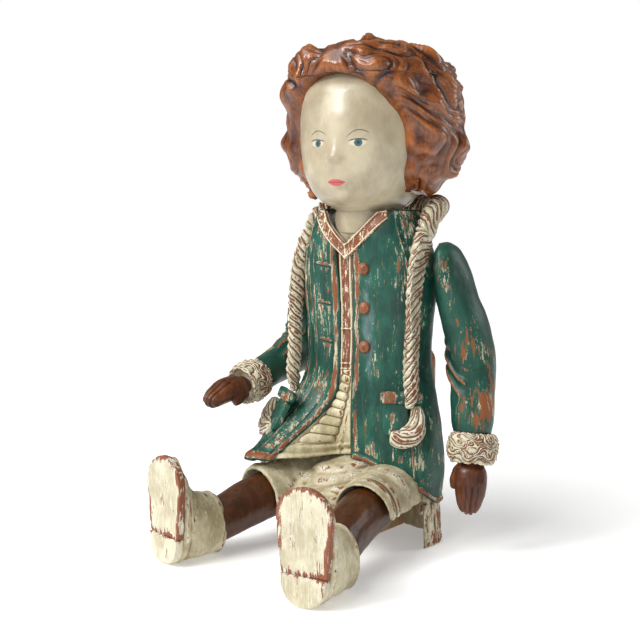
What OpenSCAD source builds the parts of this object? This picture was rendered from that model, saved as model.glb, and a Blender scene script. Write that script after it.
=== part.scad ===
// Seated jointed dummy: a carved and painted wooden figure with a turning head,
// swinging arms and swinging legs. The body is a hollow coat of carved staves over a
// seat block; the head stands on a stick that is reached through the back of the coat.
// +Z is up, the figure faces -Y, its left side is +X, and it sits on z = 0.

/* [Coat] */
// Wall of the carved coat shell
coat_wall = 7; // [6:0.5:8]
// Height of the coat hem at the sides and back
hem_back_z = 50; // [46:1:56]
// Height of the coat hem at the front, where it lies on the lap
hem_front_z = 97; // [92:1:102]
// Wall of the carved skirt shell
skirt_wall = 8; // [7:0.5:9]
// Radius of the rope-like fur edging
fur_r = 11; // [9:0.5:12]
// Radius of a coat button
button_r = 7; // [6:0.5:8]

/* [Head] */
// Wall of the hollow head
head_wall = 9; // [7:0.5:11]
// Angle that the head is turned to its left at rest
head_rest_turn = 6; // [0:1:10]
// Radius of the neck
neck_r = 34; // [32:0.5:35]
// Radius of the head stick
stick_r = 10; // [8:0.5:11]

/* [Arms] */
// Height of the shoulder bolts
shoulder_z = 308; // [304:1:310]
// Radius of the shoulder bolts
bolt_r = 3; // [2.5:0.25:3.5]

/* [Legs] */
// Height of the hip pins
hip_z = 66; // [64:1:68]
// Distance of each leg's hip from the middle
hip_x = 46; // [45:0.5:47]
// Radius of the hip pins
pin_r = 4; // [3:0.25:5]
// Angle that each leg is turned out
leg_splay = 10; // [9:0.5:11]
// Angle that each shoe is turned out
toe_out = 9; // [7:0.5:11]

/* [Hidden] */

coat_green = [0.05, 0.32, 0.24];
cream = [0.86, 0.82, 0.68];
bare_wood = [0.5, 0.22, 0.1];
glove_brown = [0.3, 0.11, 0.04];
face_cream = [0.76, 0.7, 0.57];
hair_auburn = [0.52, 0.18, 0.05];
board_wood = [0.72, 0.58, 0.4];
steel = [0.6, 0.6, 0.62];

run_gap = 0.05;      // radial clearance where one piece turns in another
seat_gap = 0.3;      // gap between carved pieces that lie against each other
mid_y = -5;          // where a body section changes from its front half to its back half
front_power = 2 / 3; // squarish front half of a section
back_power = 1;      // round back half of a section
side_seam = 10;      // angle of the seam between the coat's fronts and its back
cols = 20;           // points across a carved panel
rows = 16;           // points up a carved panel

// Sections of the coat: height, half width, front, back
coat_table = [[40, 94, -54, 50], [75, 95, -55, 51], [105, 95, -56, 50], [135, 92, -56, 46],
    [165, 85, -55, 42], [195, 78, -52, 38], [225, 77, -51, 37], [255, 80, -52, 38],
    [285, 84, -53, 40], [308, 83.5, -54, 41], [325, 80, -55, 41], [340, 73, -56, 40],
    [356, 67, -54, 39], [372, 60, -48, 37]];
coat_top_z = 372;
neckline_z = 322;    // height of the coat's neckline in front
neckline_x = 56;     // distance from the middle at which it reaches the coat's top
// Sections of the skirt
skirt_table = [[0, 90, -58, 43], [39, 88, -58, 43], [60, 83.5, -50, 42], [80, 83.5, -46, 42],
    [100, 83, -41, 40], [118, 80, -39, 38]];
skirt_top_z = 118;
skirt_front_z = 44;
// Sections of the head without its hair, counted from the neck joint
head_table = [[370, 30, -47, 11], [373, 39, -60, 18], [379, 48, -73, 25], [390, 57, -85, 33],
    [410, 67, -92, 45], [440, 73, -93, 53], [470, 74, -92, 57], [500, 70, -87, 56],
    [518, 60, -75, 49], [532, 40, -55, 35], [540, 14, -30, 11]];
// Sections of the hair's outer shape
hair_table = [[391, 68, -76, 44], [402, 88, -97, 64], [420, 102, -108, 78], [445, 107, -113, 84],
    [475, 106, -114, 84], [505, 101, -113, 80], [530, 88, -104, 70], [550, 62, -80, 50],
    [562, 26, -46, 16]];
neck_top_z = 370;
neck_y = -17;
hairline_z = 512;
hair_gap = 2.4;       // glue space between the head's wall and the hair
hair_edge = 33;      // angle behind straight left or right at which the hair meets the face

function lerp(a, b, t) = a + (b - a) * t;
function clamp(v) = min(max(v, 0), 1);
function smooth(v) = let (c = clamp(v)) c * c * (3 - 2 * c);
function unit(v) = v / norm(v);

// Row of a table at height z, between its own rows
function at(table, z) =
    let (below = [for (k = [0 : len(table) - 2]) if (z >= table[k][0]) k],
         i = len(below) > 0 ? max(below) : 0,
         t = clamp((z - table[i][0]) / (table[i + 1][0] - table[i][0])))
    lerp(table[i], table[i + 1], t);

// Point of a section: t is -90 at the front, 0 at the figure's left and 90 at the back
function body_point(table, z, t, inset, front_p = front_power, back_p = back_power) =
    let (s = at(table, z), c = cos(t), n = sin(t), p = n < 0 ? front_p : back_p,
         depth = n < 0 ? mid_y - s[2] - inset : s[3] - inset - mid_y)
    [(s[1] - inset) * sign(c) * pow(abs(c), p), mid_y + depth * sign(n) * pow(abs(n), p), z];

// Angle at which a section is x away from the middle of its front
function front_angle(table, z, x) =
    -90 + asin(pow(clamp(x / at(table, z)[1]), 1 / front_power));

// The lap pushes the right side of the coat and dress forwards, more the lower they hang
function lap_push(x, z) =
    (76 * smooth(-x / 56) + 18 * clamp((-x - 50) / 34)) * pow(clamp((185 - z) / 88), 1.6);
function coat_point(z, t, inset) =
    let (p = body_point(coat_table, z, t, inset))
    p - [0, sin(t) < 0 ? lap_push(p[0], z) * smooth(-sin(t) / 0.6) : 0, 0];

// Two triangles for a quad that is clockwise seen from outside
function quad(a, b, c, d) = [[a, b, c], [a, c, d]];

// Closed solid between an outer and an inner grid of points, each a list of rows.
// wrap joins the last column to the first, and dome closes both grids at the top.
module carved(outer, inner, wrap = false, dome = false) {
    n_rows = len(outer);
    n_cols = len(outer[0]);
    count = n_rows * n_cols;
    top = n_rows - 1;
    last = wrap ? n_cols - 1 : n_cols - 2;
    function o(i, j) = i * n_cols + j % n_cols;
    function q(i, j) = count + i * n_cols + j % n_cols;
    skin = [for (i = [0 : top - 1], j = [0 : last])
        each concat(quad(o(i, j), o(i + 1, j), o(i + 1, j + 1), o(i, j + 1)),
            quad(q(i, j), q(i, j + 1), q(i + 1, j + 1), q(i + 1, j)))];
    foot = [for (j = [0 : last]) each quad(o(0, j), o(0, j + 1), q(0, j + 1), q(0, j))];
    rim = dome ? [[for (j = [last : -1 : 0]) o(top, j)], [for (j = [0 : last]) q(top, j)]]
        : [for (j = [0 : last]) each quad(o(top, j + 1), o(top, j), q(top, j), q(top, j + 1))];
    sides = wrap ? [] : [for (i = [0 : top - 1])
        each concat(quad(o(i + 1, 0), o(i, 0), q(i, 0), q(i + 1, 0)),
            quad(o(i, last + 1), o(i + 1, last + 1), q(i + 1, last + 1), q(i, last + 1)))];
    polyhedron(points = concat([for (r = outer) each r], [for (r = inner) each r]),
        faces = concat(skin, foot, rim, sides), convexity = 6);
}

// Solid through a stack of rings
module lofted(rings) {
    n_cols = len(rings[0]);
    top = len(rings) - 1;
    function o(i, j) = i * n_cols + j % n_cols;
    skin = [for (i = [0 : top - 1], j = [0 : n_cols - 1])
        each quad(o(i, j), o(i + 1, j), o(i + 1, j + 1), o(i, j + 1))];
    foot = [[for (j = [0 : n_cols - 1]) o(0, j)]];
    head = [[for (j = [n_cols - 1 : -1 : 0]) o(top, j)]];
    polyhedron(points = [for (r = rings) each r], faces = concat(skin, foot, head), convexity = 4);
}

// Rings along a path of [x, y, z, half width, half depth]; across sets the width's direction
function place(p) = [p[0], p[1], p[2]];
function heading(path, i) =
    unit(place(path[min(i + 1, len(path) - 1)]) - place(path[max(i - 1, 0)]));
function path_rings(path, across, sides) =
    [for (i = [0 : len(path) - 1])
        let (t = heading(path, i), u = unit(across - t * (across * t)), v = cross(t, u))
        [for (k = [0 : sides - 1])
            let (a = 360 * k / sides)
            place(path[i]) + u * path[i][3] * cos(a) + v * path[i][4] * sin(a)]];

module both_sides(side) {
    if (side > 0) children();
    else mirror([1, 0, 0]) children();
}

// ---------------------------------------------------------------- coat

// Height of the hem at angle t. It slopes down along the left front, and lies level on the right lap
function hem_z(t, side) =
    let (ahead = max(-sin(t), 0))
    lerp(hem_back_z, hem_front_z,
        side > 0 ? 0.8 * ahead + 0.2 * smooth((ahead - 0.9) / 0.1) : smooth(ahead / 0.45));
// Height of the neckline at distance x from the middle, and of a front's top at angle t
function neckline(x) = lerp(neckline_z, coat_top_z, clamp(abs(x) / neckline_x));
function top_z(t) =
    sin(t) < 0 ? neckline(body_point(coat_table, coat_top_z - 15, t, 0)[0]) : coat_top_z;

function coat_grid(side, inset, open_x) =
    [for (i = [0 : rows - 1])
        [for (j = [0 : cols - 1])
            let (s = i / (rows - 1), guess = lerp(hem_front_z, coat_top_z, s),
                 t0 = front_angle(coat_table, guess, open_x(guess)),
                 t = lerp(t0, side_seam, (side > 0 ? j : cols - 1 - j) / (cols - 1)),
                 z = lerp(hem_z(t, side), top_z(t), s))
            coat_point(z, side > 0 ? t : -180 - t, inset)]];

// The coat stands open: its left front hangs straight, its right front falls away
left_open = function (z) 6;
right_open = function (z) lerp(48, 11, smooth((z - hem_front_z + 10) / 105));

module coat_front(side) {
    open_x = side > 0 ? left_open : right_open;
    color(coat_green) difference() {
        carved(coat_grid(side, 0, open_x), coat_grid(side, coat_wall, open_x));
        bolt_way(side);
        on_hip(side) thigh_cover(side, seat_gap + 0.2);
    }
}

// Clear way for a shoulder bolt through the coat
module bolt_way(side) {
    both_sides(side) translate([60, 2, shoulder_z]) rotate([0, 90, 0])
        cylinder(h = 50, r = bolt_r + 2, $fn = 32);
}

hand_hole_z = 168;
hand_hole_w = 64;
hand_hole_h = 84;
hand_hole_r = 20;

// Rounded opening in the XZ plane, running along +Y
module rounded_slot(w, h, r, depth) {
    rotate([90, 0, 0]) translate([0, 0, -depth]) {
        for (x = [-1, 1], z = [-1, 1])
            translate([x * (w / 2 - r), z * (h / 2 - r), 0]) cylinder(h = depth, r = r, $fn = 32);
        translate([-w / 2, -h / 2 + r, 0]) cube([w, h - 2 * r, depth]);
        translate([-w / 2 + r, -h / 2, 0]) cube([w - 2 * r, h, depth]);
    }
}

module coat_back() {
    function grid(inset) = [for (i = [0 : rows - 1])
        [for (j = [0 : 2 * cols - 2])
            let (t = lerp(side_seam, 180 - side_seam, j / (2 * cols - 2)),
                 z = lerp(hem_z(t, 1), coat_top_z, i / (rows - 1)))
            body_point(coat_table, z, t, inset)]];
    color(coat_green) difference() {
        carved(grid(0), grid(coat_wall));
        translate([0, 10, hand_hole_z]) rounded_slot(hand_hole_w, hand_hole_h, hand_hole_r, 60);
        for (side = [-1, 1]) bolt_way(side);
    }
}

// Strip of the dress that shows between the coat's fronts, from x0(z) to x1(z)
module dress_strip(z0, z1, x0, x1, outer_inset, thickness, n_rows) {
    function grid(inset) = [for (i = [0 : n_rows - 1])
        let (z = lerp(z0, z1, i / (n_rows - 1)),
             t0 = -180 - front_angle(coat_table, z, x0(z)),
             t1 = front_angle(coat_table, z, x1(z)))
        [for (j = [0 : cols - 1]) coat_point(z, lerp(t0, t1, j / (cols - 1)), inset)]];
    carved(grid(outer_inset), grid(outer_inset + thickness));
}

waist_z = 192;
strip_inset = coat_wall + seat_gap;

module shirt_front() {
    color(bare_wood) dress_strip(waist_z, 334, function (z) 24, function (z) 24, strip_inset, 6, 8);
}

module dress_front() {
    color(cream) dress_strip(hem_front_z + 9, waist_z, function (z) lerp(70, 58, (z - 106) / 86),
        function (z) 24, strip_inset, 6, 8);
}

// ---------------------------------------------------------------- skirt

// A leg's own frame: the hip is its origin, +X runs outwards along the pin
module on_hip(side) {
    both_sides(side) translate([hip_x, 0, hip_z]) rotate([0, 0, leg_splay]) children();
}

// A leg's middle line, as [x, y, z] in the leg's frame
leg_line = [[0, 20, 1], [0, 0, 0], [0, -26, -2], [0, -60, -5], [0, -112, -12], [2, -152, -22],
    [4, -176, -30], [5, -192, -34]];
function along_leg(k, radii) =
    [for (i = [0 : len(radii) - 1]) concat(leg_line[i + k], radii[i])];

// Room for one leg, open downwards so that the leg can hang
module leg_room() {
    lofted(path_rings(along_leg(0, [[29, 29], [29, 29], [29, 30], [30, 30], [31, 31], [34, 36]]),
        [1, 0, 0], 24));
    translate([-29, -170, -hip_z - 2]) cube([110, 146, hip_z - 12]);
    translate([-29, -170, -hip_z - 2]) cube([58, 200, hip_z + 2]);
    rotate([0, 90, 0]) translate([0, 0, -29]) cylinder(h = 58, r = 31, $fn = 40);
}

// Tube of the skirt that lies over a thigh, further forwards on the right side
module thigh_cover(side, gap = 0) {
    reach = side > 0 ? -108 : -126;
    r = [33, 34, 34, 35] + [gap, gap, gap, gap];
    path = [[0, -10, 0, r[0], r[1]], [0, -35, -2, r[3], r[1]], [0, -70, -6, r[3], r[2]],
        [0, reach, -13, r[3], r[3]]];
    lofted(path_rings(path, [1, 0, 0], 28));
}

// Cloth that hangs between the thighs
module lap_cloth() {
    lofted(path_rings([[0, -42, 89, 30, 9], [0, -75, 81, 37, 8], [0, -100, 66, 37, 6],
        [0, -114, 57, 34, 5]], [1, 0, 0], 20));
}

module skirt() {
    n = 40;
    function foot_z(t) = lerp(0, skirt_front_z, smooth((-sin(t) - 0.9) / 0.08));
    function grid(inset) = [for (i = [0 : 6])
        [for (j = [0 : n - 1])
            let (t = 360 * j / n)
            body_point(skirt_table, lerp(foot_z(t), skirt_top_z, i / 6), t, inset)]];
    color(cream) difference() {
        union() {
            carved(grid(0), grid(skirt_wall), wrap = true);
            lap_cloth();
            for (side = [-1, 1]) on_hip(side) thigh_cover(side);
        }
        for (side = [-1, 1]) on_hip(side) leg_room();
        block_space(seat_gap);
        translate([0, 0, 60]) lofted([for (z = [0, 60]) [for (j = [0 : n - 1])
            body_point(skirt_table, 60, 360 * j / n, skirt_wall + 0.1) + [0, 0, z - 60]]]);
    }
}

block_w = 34;
block_h = 112;
pin_in = 38;
pin_out = 28;
cap_t = 2.5;
cap_r = 8;

module block_space(gap = 0) {
    translate([-block_w / 2 - gap, -33 - gap, -gap])
        cube([block_w + 2 * gap, 67 + 2 * gap, block_h + 2 * gap]);
}

module seat_block() {
    color(board_wood) difference() {
        block_space();
        for (side = [-1, 1]) on_hip(side)
            translate([-pin_in, 0, 0]) rotate([0, 90, 0]) cylinder(h = pin_in, r = pin_r, $fn = 32);
    }
}

module hip_pin(side) {
    color(steel) on_hip(side) translate([-pin_in, 0, 0]) rotate([0, 90, 0]) {
        cylinder(h = pin_in + pin_out - cap_t, r = pin_r, $fn = 32);
        translate([0, 0, pin_in + pin_out - cap_t]) cylinder(h = cap_t, r = cap_r, $fn = 32);
    }
}

// ---------------------------------------------------------------- edging, pockets, buttons

// Space that a sleeve sweeps beside the coat
module sleeve_sweep(side) {
    both_sides(side) translate([arm_flat_x - 0.5, 2, shoulder_z]) rotate([0, 90, 0])
        cylinder(h = 20, r1 = 62, r2 = 282, $fn = 72);
}

module fur_edge(side) {
    path = [[80, -50, 160, 3, 3], [83, -47, 168, 6, 6], [84, -47, 180, 8, 8], [83, -46, 210, 8.5, 8.5],
        [85, -44, 245, 9.5, 9.5], [86, -42, 278, fur_r, fur_r], [85, -37, 305, 11.5, 11.5],
        [83, -27, 330, 12, 12], [81, -18, 345, 12, 12]];
    color(cream) difference() {
        both_sides(side) lofted(path_rings(path, [1, 1, 0], 12));
        sleeve_sweep(side);
    }
}

module fur_collar() {
    half = [[81, -18, 345, 12, 12], [79, -8, 360, 12, 12], [75, 8, 371, 12, 12],
        [63, 31, 375, 12, 12], [44, 46, 375.5, 12, 12], [22, 51, 375.5, 12, 12]];
    path = concat([for (p = half) [-p[0], p[1], p[2], p[3], p[4]]], [[0, 52, 375.5, 12, 12]],
        [for (i = [len(half) - 1 : -1 : 0]) half[i]]);
    color(cream) difference() {
        lofted(path_rings(path, [0, 0, 1], 12));
        for (side = [-1, 1]) sleeve_sweep(side);
    }
}

collar_h = 13;

// Band that stands on the coat's neckline
module shirt_collar() {
    n = 24;
    function grid(inset) = [for (i = [0 : 3])
        [for (j = [0 : n])
            let (x = lerp(-50, 50, j / n), foot = neckline(x) + 0.6,
                 z = lerp(foot, min(neckline(x) + collar_h, neck_top_z - 0.6), i / 3),
                 turn = front_angle(coat_table, 356, abs(x)),
                 t = x > 0 ? turn : -180 - turn)
            coat_point(z, t, inset)]];
    color(bare_wood) carved(grid(1), grid(5.5));
}

// Buttons stand on the left front of the coat
button_x = 24;
button_zs = [222, 265, 308];
button_h = 6;

module coat_buttons() {
    color(bare_wood) for (z = button_zs) {
        t = front_angle(coat_table, z, button_x);
        p = coat_point(z, t, 0);
        translate([p[0], p[1], z]) rotate([90, 0, 12]) {
            cylinder(h = button_h - 2, r = button_r, $fn = 32);
            translate([0, 0, button_h - 2]) cylinder(h = 2, r1 = button_r, r2 = button_r - 3, $fn = 32);
            translate([0, 0, -4]) cylinder(h = 4, r = 2, $fn = 32);
        }
    }
}

// A pocket lies on the flare of a coat front, turned to its slope
module on_pocket(side) {
    both_sides(side) translate(side > 0 ? [70, -46, 146] : [78, -80, 138])
        rotate([0, 0, 34]) rotate([side > 0 ? -3 : -27, 0, 0]) children();
}

module pocket(side) {
    color(coat_green) on_pocket(side) {
        translate([-23, -3, 18]) cube([46, 8, 12]);
        translate([-19, -5, -16]) cube([26, 9, 34]);
    }
}

module pocket_fur(side) {
    path = [[16, -4, 17, 6, 5], [17, -4, 0, 9, 7], [13, -4, -16, 12, 8], [2, -4, -23, 12, 8],
        [-13, -3, -20, 8, 6]];
    color(cream) on_pocket(side) lofted(path_rings(path, [0, -1, 0], 12));
}

// ---------------------------------------------------------------- head

board_z = 296;
board_t = 12;
bush_r = 18;

module shoulder_board() {
    color(board_wood) difference() {
        intersection() {
            union() {
                translate([-60, -37, board_z]) cube([120, 68, board_t]);
                for (side = [-1, 1]) both_sides(side)
                    translate([60, -14, board_z]) cube([16, 30, 24]);
            }
            translate([0, 0, board_z - 1]) linear_extrude(30)
                polygon([for (j = [0 : 39])
                    let (p = body_point(coat_table, board_z + 24, 9 * j, coat_wall + 1)) [p[0], p[1]]]);
        }
        translate([0, neck_y, board_z - 1]) cylinder(h = board_t + 2, r = bush_r, $fn = 48);
        translate([-90, 2, shoulder_z]) rotate([0, 90, 0]) {
            cylinder(h = 35, r = bolt_r + run_gap, $fn = 32);
            translate([0, 0, 145]) cylinder(h = 35, r = bolt_r + run_gap, $fn = 32);
        }
        for (side = [-1, 1]) both_sides(side)
            translate([42, 2, shoulder_z]) rotate([0, 90, 0]) cylinder(h = 18, r = 9, $fn = 32);
    }
}

module neck_bush() {
    color(bare_wood) translate([0, neck_y, board_z]) difference() {
        union() {
            cylinder(h = board_t, r = bush_r, $fn = 48);
            translate([0, 0, board_t]) cylinder(h = 4, r = bush_r + 6, $fn = 48);
        }
        translate([0, 0, -1]) cylinder(h = board_t + 6, r = stick_r + run_gap, $fn = 48);
    }
}

neck_foot_z = board_z + board_t + 4 + 0.5;

module neck() {
    color(face_cream) translate([0, neck_y, 0]) difference() {
        translate([0, 0, neck_foot_z]) {
            cylinder(h = 20, r = 20, $fn = 48);
            translate([0, 0, 20]) cylinder(h = 14, r1 = 20, r2 = neck_r, $fn = 48);
            translate([0, 0, 34]) cylinder(h = neck_top_z - neck_foot_z - 34, r = neck_r, $fn = 48);
            translate([0, 0, 34]) cylinder(h = neck_top_z + 14 - neck_foot_z - 34, r = neck_r - 14, $fn = 48);
        }
        translate([0, 0, neck_foot_z - 1]) cylinder(h = 46, r = stick_r, $fn = 48);
    }
}

module on_head() {
    translate([0, neck_y, 0]) rotate([0, 0, head_rest_turn]) translate([0, -neck_y, 0]) children();
}

function round_point(table, z, t, inset) = body_point(table, z, t, inset, 0.9, 1);

module head_half(t0, t1) {
    n = 18;
    heights = [for (s = head_table) s[0]];
    function grid(inset, lift) = [for (z = heights)
        [for (j = [0 : n])
            let (p = round_point(head_table, z, lerp(t0, t1, j / n), min(inset, at(head_table, z)[1] - 2)))
            [p[0], p[1], z - lift * smooth((z - 480) / 50) * 0.9]]];
    color(face_cream) on_head() carved(grid(0, 0), grid(head_wall, head_wall));
}

module face_shell() { head_half(-180, 0); }
module skull_shell() { head_half(0, 180); }

module hair_crown() {
    n = 36;
    zs = [hairline_z, 522, 535, 547, 556, 562];
    inner_zs = [hairline_z, 521, 528, 534, 539, 543.5];
    outer = [for (z = zs) [for (j = [0 : n - 1]) round_point(hair_table, z, 360 * j / n, 0)]];
    inner = [for (z = inner_zs) [for (j = [0 : n - 1])
        let (p = round_point(head_table, min(z, 540), 360 * j / n, -hair_gap)) [p[0], p[1], z]]];
    color(hair_auburn) on_head() carved(outer, inner, wrap = true, dome = true);
}

module hair_fall() {
    n = 26;
    zs = [391, 402, 420, 445, 475, 495, hairline_z];
    function grid(outside) = [for (z = zs) [for (j = [0 : n])
        let (t = lerp(-hair_edge, 180 + hair_edge, j / n))
        outside ? round_point(hair_table, z, t, 0) : round_point(head_table, z, t, -hair_gap)]];
    color(hair_auburn) on_head() carved(grid(true), grid(false));
}

stick_foot_z = 150;

module head_stick() {
    color(board_wood) translate([0, neck_y, 0]) difference() {
        translate([0, 0, stick_foot_z]) cylinder(h = neck_foot_z + 45 - stick_foot_z, r = stick_r, $fn = 48);
        translate([-30, 0, 285]) rotate([0, 90, 0]) cylinder(h = 60, r = 2, $fn = 32);
    }
}

module stick_grip() {
    color(bare_wood) translate([0, neck_y, 146]) rotate_extrude($fn = 48) difference() {
        polygon([[0, -14], [10, -14], [14, -10], [14, -2], [15.5, 8], [16, 20], [14.5, 32], [13, 40],
            [11, 44], [0, 44]]);
        translate([0, 4]) square([stick_r, 60]);
    }
}

module stick_stop() {
    color(bare_wood) translate([0, neck_y, 279]) difference() {
        cylinder(h = 16, r = 17, $fn = 48);
        translate([0, 0, -1]) cylinder(h = 18, r = stick_r, $fn = 48);
        translate([-30, 0, 6]) rotate([0, 90, 0]) cylinder(h = 60, r = 2, $fn = 32);
    }
}

module stick_stop_pin() {
    color(steel) translate([-19, neck_y, 285]) rotate([0, 90, 0]) cylinder(h = 38, r = 2, $fn = 32);
}

// ---------------------------------------------------------------- arms

arm_flat_x = 86.5;                     // inner face of an arm's top
arm_sides = 18;
// Sleeves as [x, y, z, half width, half depth]; the left hangs, the right is bent forwards
sleeve_paths = [
    [[92, 3, 336, 3, 8], [94, 3, 331, 7, 17], [98, 3, 319, 12, 24], [102, 4, 301, 16, 28],
        [106, 9, 270, 20, 28], [114, 14, 240, 23, 30], [119, 15, 210, 26, 29], [127, 6, 172, 24, 25],
        [135, -5, 136, 20, 20], [137, -6.8, 129.7, 18.5, 18.5]],
    [[92, 3, 336, 3, 8], [94, 3, 331, 7, 17], [98, 3, 319, 12, 24], [102, 4, 301, 16, 28],
        [106, 9, 270, 20, 28], [113, 14, 240, 23, 29], [116, 14, 218, 24, 30], [118, 4, 202, 24, 27],
        [118, -16, 194, 23, 24], [117, -42, 186, 21, 21], [116, -68, 178, 19.5, 19.5],
        [116, -75.2, 175.2, 19, 19]]];
wrists = [[[138, -9, 119], [0.07, -0.2, -0.97]], [[116, -86, 173], [0, -0.98, -0.17]]];

// Local frame of a wrist: +Z runs along the forearm towards the fingers
module on_wrist(arm) {
    p = wrists[arm][0];
    d = unit(wrists[arm][1]);
    translate(p) rotate([0, acos(d[2]), atan2(d[1], d[0])]) children();
}

module sleeve(side) {
    arm = side > 0 ? 0 : 1;
    path = sleeve_paths[arm];
    color(coat_green) both_sides(side) difference() {
        lofted(path_rings(path, [1, 0, 0], arm_sides));
        translate([arm_flat_x - 40, -60, 250]) cube([40, 120, 120]);
        translate([80, 2, shoulder_z]) rotate([0, 90, 0]) cylinder(h = 28, r = bolt_r, $fn = 32);
        on_wrist(arm) translate([0, 0, -46]) cylinder(h = 60, r = 6, $fn = 32);
    }
}

cuff_l = 32;

module cuff(side) {
    arm = side > 0 ? 0 : 1;
    r = arm == 0 ? 28 : 25;
    color(cream) both_sides(side) on_wrist(arm) translate([0, 0, -cuff_l / 2 + 1]) difference() {
        rotate_extrude($fn = 48)
            polygon([[0, 0], [23.5, 0], [r - 1.5, 4], [r, 12], [r, 20], [r - 2, 27], [22, cuff_l],
                [0, cuff_l]]);
        translate([0, 0, -1]) cylinder(h = cuff_l + 2, r = 6, $fn = 32);
        translate([0, 0, -1]) cylinder(h = 10, r = 22.3, $fn = 32);
        translate([0, 0, cuff_l - 10]) cylinder(h = 12, r = 18, $fn = 32);
    }
}

module hand(side) {
    arm = side > 0 ? 0 : 1;
    path = [[0, 0, 8.5, 13, 11], [0, 0, 18, 14, 11], [0, 2, 30, 17, 13], [0, 2, 42, 17, 13],
        [0, 0, 54, 15, 11], [0, -3, 65, 11, 9], [0, -6, 72, 6, 6]];
    color(glove_brown) both_sides(side) on_wrist(arm) difference() {
        rotate([0, 0, arm == 0 ? 70 : 100]) lofted(path_rings(path, [1, 0, 0], 16));
        translate([0, 0, -20]) cylinder(h = 50, r = 6, $fn = 32);
    }
}

module wrist_dowel(side) {
    arm = side > 0 ? 0 : 1;
    color(board_wood) both_sides(side) on_wrist(arm) translate([0, 0, -40]) cylinder(h = 68, r = 6, $fn = 32);
}

bolt_in_x = 49;

module shoulder_bolt(side) {
    color(steel) both_sides(side) translate([bolt_in_x, 2, shoulder_z]) rotate([0, 90, 0])
        cylinder(h = 106 - bolt_in_x, r = bolt_r, $fn = 32);
}

module shoulder_washer(side) {
    color(steel) both_sides(side) translate([58.2, 2, shoulder_z]) rotate([0, 90, 0]) difference() {
        cylinder(h = 1.5, r = 7.5, $fn = 32);
        translate([0, 0, -1]) cylinder(h = 4, r = bolt_r, $fn = 32);
    }
}

module shoulder_nut(side) {
    color(steel) both_sides(side) translate([52.2, 2, shoulder_z]) rotate([0, 90, 0]) difference() {
        cylinder(h = 6, r = 6, $fn = 6);
        translate([0, 0, -1]) cylinder(h = 8, r = bolt_r, $fn = 32);
    }
}

// ---------------------------------------------------------------- legs

module leg_form() {
    radii = [[19, 20], [24, 26], [24, 27], [25, 27], [26.5, 26.5], [25, 25], [24, 24], [22, 23]];
    lofted(path_rings(concat([[0, 25, 2, 9, 9]], along_leg(0, radii)), [1, 0, 0], 18));
}

module leg(side) {
    color(glove_brown) on_hip(side) difference() {
        leg_form();
        translate([-40, 0, 0]) rotate([0, 90, 0]) cylinder(h = 90, r = pin_r + run_gap, $fn = 32);
        translate([pin_out - cap_t - 0.5, 0, 0]) rotate([0, 90, 0]) cylinder(h = 30, r = cap_r + 2, $fn = 32);
        ankle_hole();
    }
}

sole_y = -240;
foot_x = 97;
heel_r = 25;
toe_r = 31;
toe_z = 85;
heel_z = 25;
heel_top_z = 31;

// The shoe's own frame: +Y runs from the sole back to the heel counter, turned out with the leg
module on_shoe(side) {
    both_sides(side) translate([foot_x, sole_y, 0]) rotate([0, 0, toe_out]) children();
}
// Frame of the ankle's dowel, at the back of the shoe
module on_ankle() {
    translate([foot_x, sole_y, 0]) rotate([0, 0, toe_out]) translate([0, 56, 33]) children();
}
module ankle_hole() {
    rotate([0, 0, -leg_splay]) translate([-hip_x, 0, -hip_z]) on_ankle()
        translate([0, -10, 0]) rotate([-90, 0, 0]) cylinder(h = 50, r = 6, $fn = 32);
}

// Outline of the sole from heel to toe, in the XZ plane
module sole_outline(inset) {
    circle_n = 48;
    translate([0, heel_z]) circle(r = heel_r - inset, $fn = circle_n);
    translate([0, toe_z]) circle(r = toe_r - inset, $fn = circle_n);
    polygon([[-heel_r + inset, heel_z], [heel_r - inset, heel_z], [toe_r - inset, toe_z],
        [-toe_r + inset, toe_z]]);
}

module slab(y0, y1) {
    translate([0, y1, 0]) rotate([90, 0, 0]) linear_extrude(y1 - y0) children();
}

module sole(side) {
    color(cream) on_shoe(side) difference() {
        slab(0, 8) sole_outline(0);
        translate([-50, -1, -10]) cube([100, 12, 10 + heel_top_z]);
    }
}

module heel(side) {
    color(cream) on_shoe(side) intersection() {
        slab(-2, 8) sole_outline(0);
        translate([-50, -5, -10]) cube([100, 20, 10 + heel_top_z]);
    }
}

// Rings of the shoe, each [distance from the sole's face, half width, bottom, top]
shoe_table = [[8.3, 27, 1.5, 113], [12, 29, 0.5, 114], [17, 28.5, 0.5, 105], [23, 27, 0.5, 88],
    [31, 26.5, 1, 75], [42, 26, 2, 68], [54, 25.5, 3, 64], [62, 24, 6, 60]];

module shoe(side) {
    n = 28;
    function ring(s) = [for (j = [0 : n - 1])
        let (a = 360 * j / n, c = cos(a), v = sin(a), w = s[1] * (1 + 0.1 * v))
        [w * sign(c) * pow(abs(c), 0.8), s[0],
            (s[2] + s[3]) / 2 - (s[3] - s[2]) / 2 * sign(v) * pow(abs(v), 0.9)]];
    color(cream) difference() {
        on_shoe(side) lofted([for (s = shoe_table) ring(s)]);
        on_hip(side) leg_form();
        on_shoe(side) translate([0, 30, 33]) rotate([-90, 0, 0]) cylinder(h = 40, r = 6, $fn = 32);
    }
}

module ankle_dowel(side) {
    color(board_wood) both_sides(side) on_ankle()
        translate([0, -26, 0]) rotate([-90, 0, 0]) cylinder(h = 66, r = 6, $fn = 32);
}

// ---------------------------------------------------------------- every node

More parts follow.
